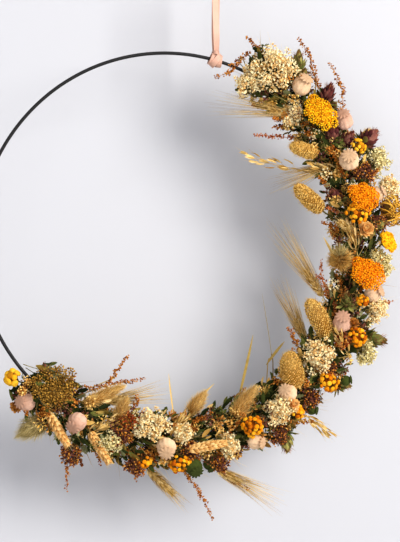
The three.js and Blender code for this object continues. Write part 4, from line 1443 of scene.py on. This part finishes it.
def filling(name, start, end, seed):
    """Leaves, dark flower bits and short stalks that fill one stretch between the heads; the large backing
    leaves are held dark as painted shade in the gaps.
    """
    piece = Piece(seed)
    rng = piece.rng

    def somewhere(count, reach, depth):
        clock = rng.uniform(start, end, count)
        out = rng.uniform(-reach, reach + 4, count)
        front = (depth * rng.random(count) - 5) * (1 - (np.abs(out) / 46) ** 2)
        places = np.array([place(c, o, f) for c, o, f in zip(clock, out, front)])
        back = np.array([-clockwise(c) for c in clock])
        away = np.array([outwards(c) for c in clock])
        lean = (out / reach)[:, None]
        aims = unit(back + away * lean * 0.9 + FRONT * rng.uniform(-0.3, 0.8, (count, 1))
                    + 0.35 * rng.normal(size=(count, 3)))
        return places, aims

    for shape, finish, count in ((LEAF, "leaf_green", 26), (LOBED_LEAF, "leaf_green", 14),
                                 (LEAF, "leaf_olive", 14), (LOBED_LEAF, "leaf_grey", 10),
                                 (LEAF, "straw", 8)):
        places, aims = somewhere(count, 26, 30)
        long = rng.uniform(7, 16, (count, 1))
        sizes = np.hstack([long * 1.15, long * 0.8, long])
        turns = facing_up(aims, -FRONT + 0.5 * rng.normal(size=(count, 3)))
        piece.put(shape, places - aims * long * 0.4, turns, sizes, finish)
    # Large leaves behind the heads, held to low, dark tints: painted shade in the gaps between the heads.
    clock = rng.uniform(start, end, BACKING_LEAVES)
    out = rng.uniform(-17, 22, BACKING_LEAVES)
    places = np.array([place(c, o, f) for c, o, f in zip(clock, out, rng.uniform(-4, 10, BACKING_LEAVES))])
    aims = unit(rng.normal(size=(BACKING_LEAVES, 3)) * [1, 0.35, 1])
    long = rng.uniform(12, 19, (BACKING_LEAVES, 1))
    piece.put(LOBED_LEAF, places - aims * long * 0.5,
              facing_up(aims, -FRONT + 0.3 * rng.normal(size=(BACKING_LEAVES, 3))),
              np.hstack([long * 1.5, long * 0.7, long]), "leaf_green",
              tints=0.35 * rng.random(BACKING_LEAVES))
    for shape, finish, count, size in (
            (FLORET, "tan_flower", 7, [1.3, 1.3, 1.9]), (FLORET, "statice", 2, [1.3, 1.3, 1.9]),
            (SCALE, "oregano", 7, [3.6, 3.0, 3.4]), (SCALE, "leaf_green", 4, [4.0, 3.0, 4.2]),
            (SCALE, "brown_petal", 3, [3.4, 2.6, 3.6]),
            (SEED, "sorrel", 5, [1.1, 0.9, 1.7]), (SCALE, "canary", 2, [2.6, 2.0, 3.4])):
        places, aims = somewhere(count, 24, 32)
        for centre, aim in zip(places, aims):
            tuft_of(piece, shape, centre, aim, 24, rng.uniform(3.4, 5.6), size, finish, 0.5, -0.7)
    places, aims = somewhere(4, 24, 28)
    for foot, aim in zip(places, aims):
        tip = foot + aim * rng.uniform(14, 24)
        sprig(piece, smooth_path([foot, (foot + tip) / 2 + 1.5 * rng.normal(size=3), tip], 8), 2.6,
              "sorrel", 3.0)
    places, aims = somewhere(26, 24, 30)
    bristles = np.hstack([np.full((BRISTLES, 2), 0.24), rng.uniform(14, 28, (BRISTLES, 1))])
    piece.put(HAIR, places, facing(aims, np.zeros(BRISTLES)), bristles, "straw")
    places, aims = somewhere(12, 22, 24)
    for tip, aim in zip(places, aims):
        clock, out, front = clock_out_front(tip)
        foot = round_rod(clock + 4, math.atan2(front, out), 5)
        piece.stalk(smooth_path([foot, (foot + tip) / 2 + aim * 3, tip], 6), 0.45, 0.3, "stalk_green", 4)
    return piece.make(name)


step = (FILLED_TO - FILLED_FROM) / FILLINGS
for k in range(FILLINGS):
    low = FILLED_FROM + k * step
    made = filling(f"leafy_filling_{k + 1}", low - 1, low + step + 1, 700 + k)
    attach(made, "root")


# ---------------------------------------------------------------- floor, wall and light

FLOOR_LEVEL = -0.78
WALL_AT = 0.085


def stage_paint(name, tint, hidden_behind=False):
    material, tree, shader = blank_material(name, 0.9)
    shader.inputs["Base Color"].default_value = colour(*tint)
    shader.inputs["Specular IOR Level"].default_value = 0.1
    if hidden_behind:
        geometry = tree.nodes.new("ShaderNodeNewGeometry")
        clear = tree.nodes.new("ShaderNodeBsdfTransparent")
        choice = tree.nodes.new("ShaderNodeMixShader")
        tree.links.new(geometry.outputs["Backfacing"], choice.inputs[0])
        tree.links.new(shader.outputs[0], choice.inputs[1])
        tree.links.new(clear.outputs[0], choice.inputs[2])
        tree.links.new(choice.outputs[0], tree.nodes["Material Output"].inputs["Surface"])
    return material


bpy.ops.mesh.primitive_plane_add(size=8, location=(0, 0, FLOOR_LEVEL))
floor = bpy.context.active_object
floor.name = "pale_floor"
floor.data.materials.append(stage_paint("pale_floor", (0.60, 0.60, 0.62)))
bpy.ops.mesh.primitive_plane_add(size=8, location=(0, WALL_AT, 0), rotation=(math.radians(90), 0, 0))
wall = bpy.context.active_object
wall.name = "pale_wall"
wall.data.materials.append(stage_paint("pale_wall", (0.60, 0.60, 0.62), hidden_behind=True))


def area_light(name, offset, size, watts, tint):
    """A square soft light that shines at the middle of the hoop."""
    middle = Vector(HOOP_CENTRE * MM)
    offset = Vector(offset)
    bpy.ops.object.light_add(type="AREA", location=middle + offset)
    light = bpy.context.active_object
    light.name = name
    light.rotation_mode = "QUATERNION"
    light.rotation_quaternion = (-offset).to_track_quat("-Z", "Y")
    light.data.size = size
    light.data.energy = watts
    light.data.color = tint


area_light("key_light", (1.75, -2.6, 1.15), 1.7, 84, (1.0, 0.98, 0.95))
area_light("fill_light", (-0.9, -2.2, -0.2), 1.6, 16, (0.97, 0.985, 1.0))
world = bpy.data.worlds.new("pale_room")
world.use_nodes = True
world.node_tree.nodes["Background"].inputs["Color"].default_value = colour(0.93, 0.94, 1.0)
world.node_tree.nodes["Background"].inputs["Strength"].default_value = 0.40
bpy.context.scene.world = world
bpy.context.scene.view_settings.view_transform = "Standard"
bpy.context.scene.view_settings.exposure = 0.42
bpy.context.scene.view_settings.gamma = 0.87


# ---------------------------------------------------------------- finish

bpy.context.view_layer.update()
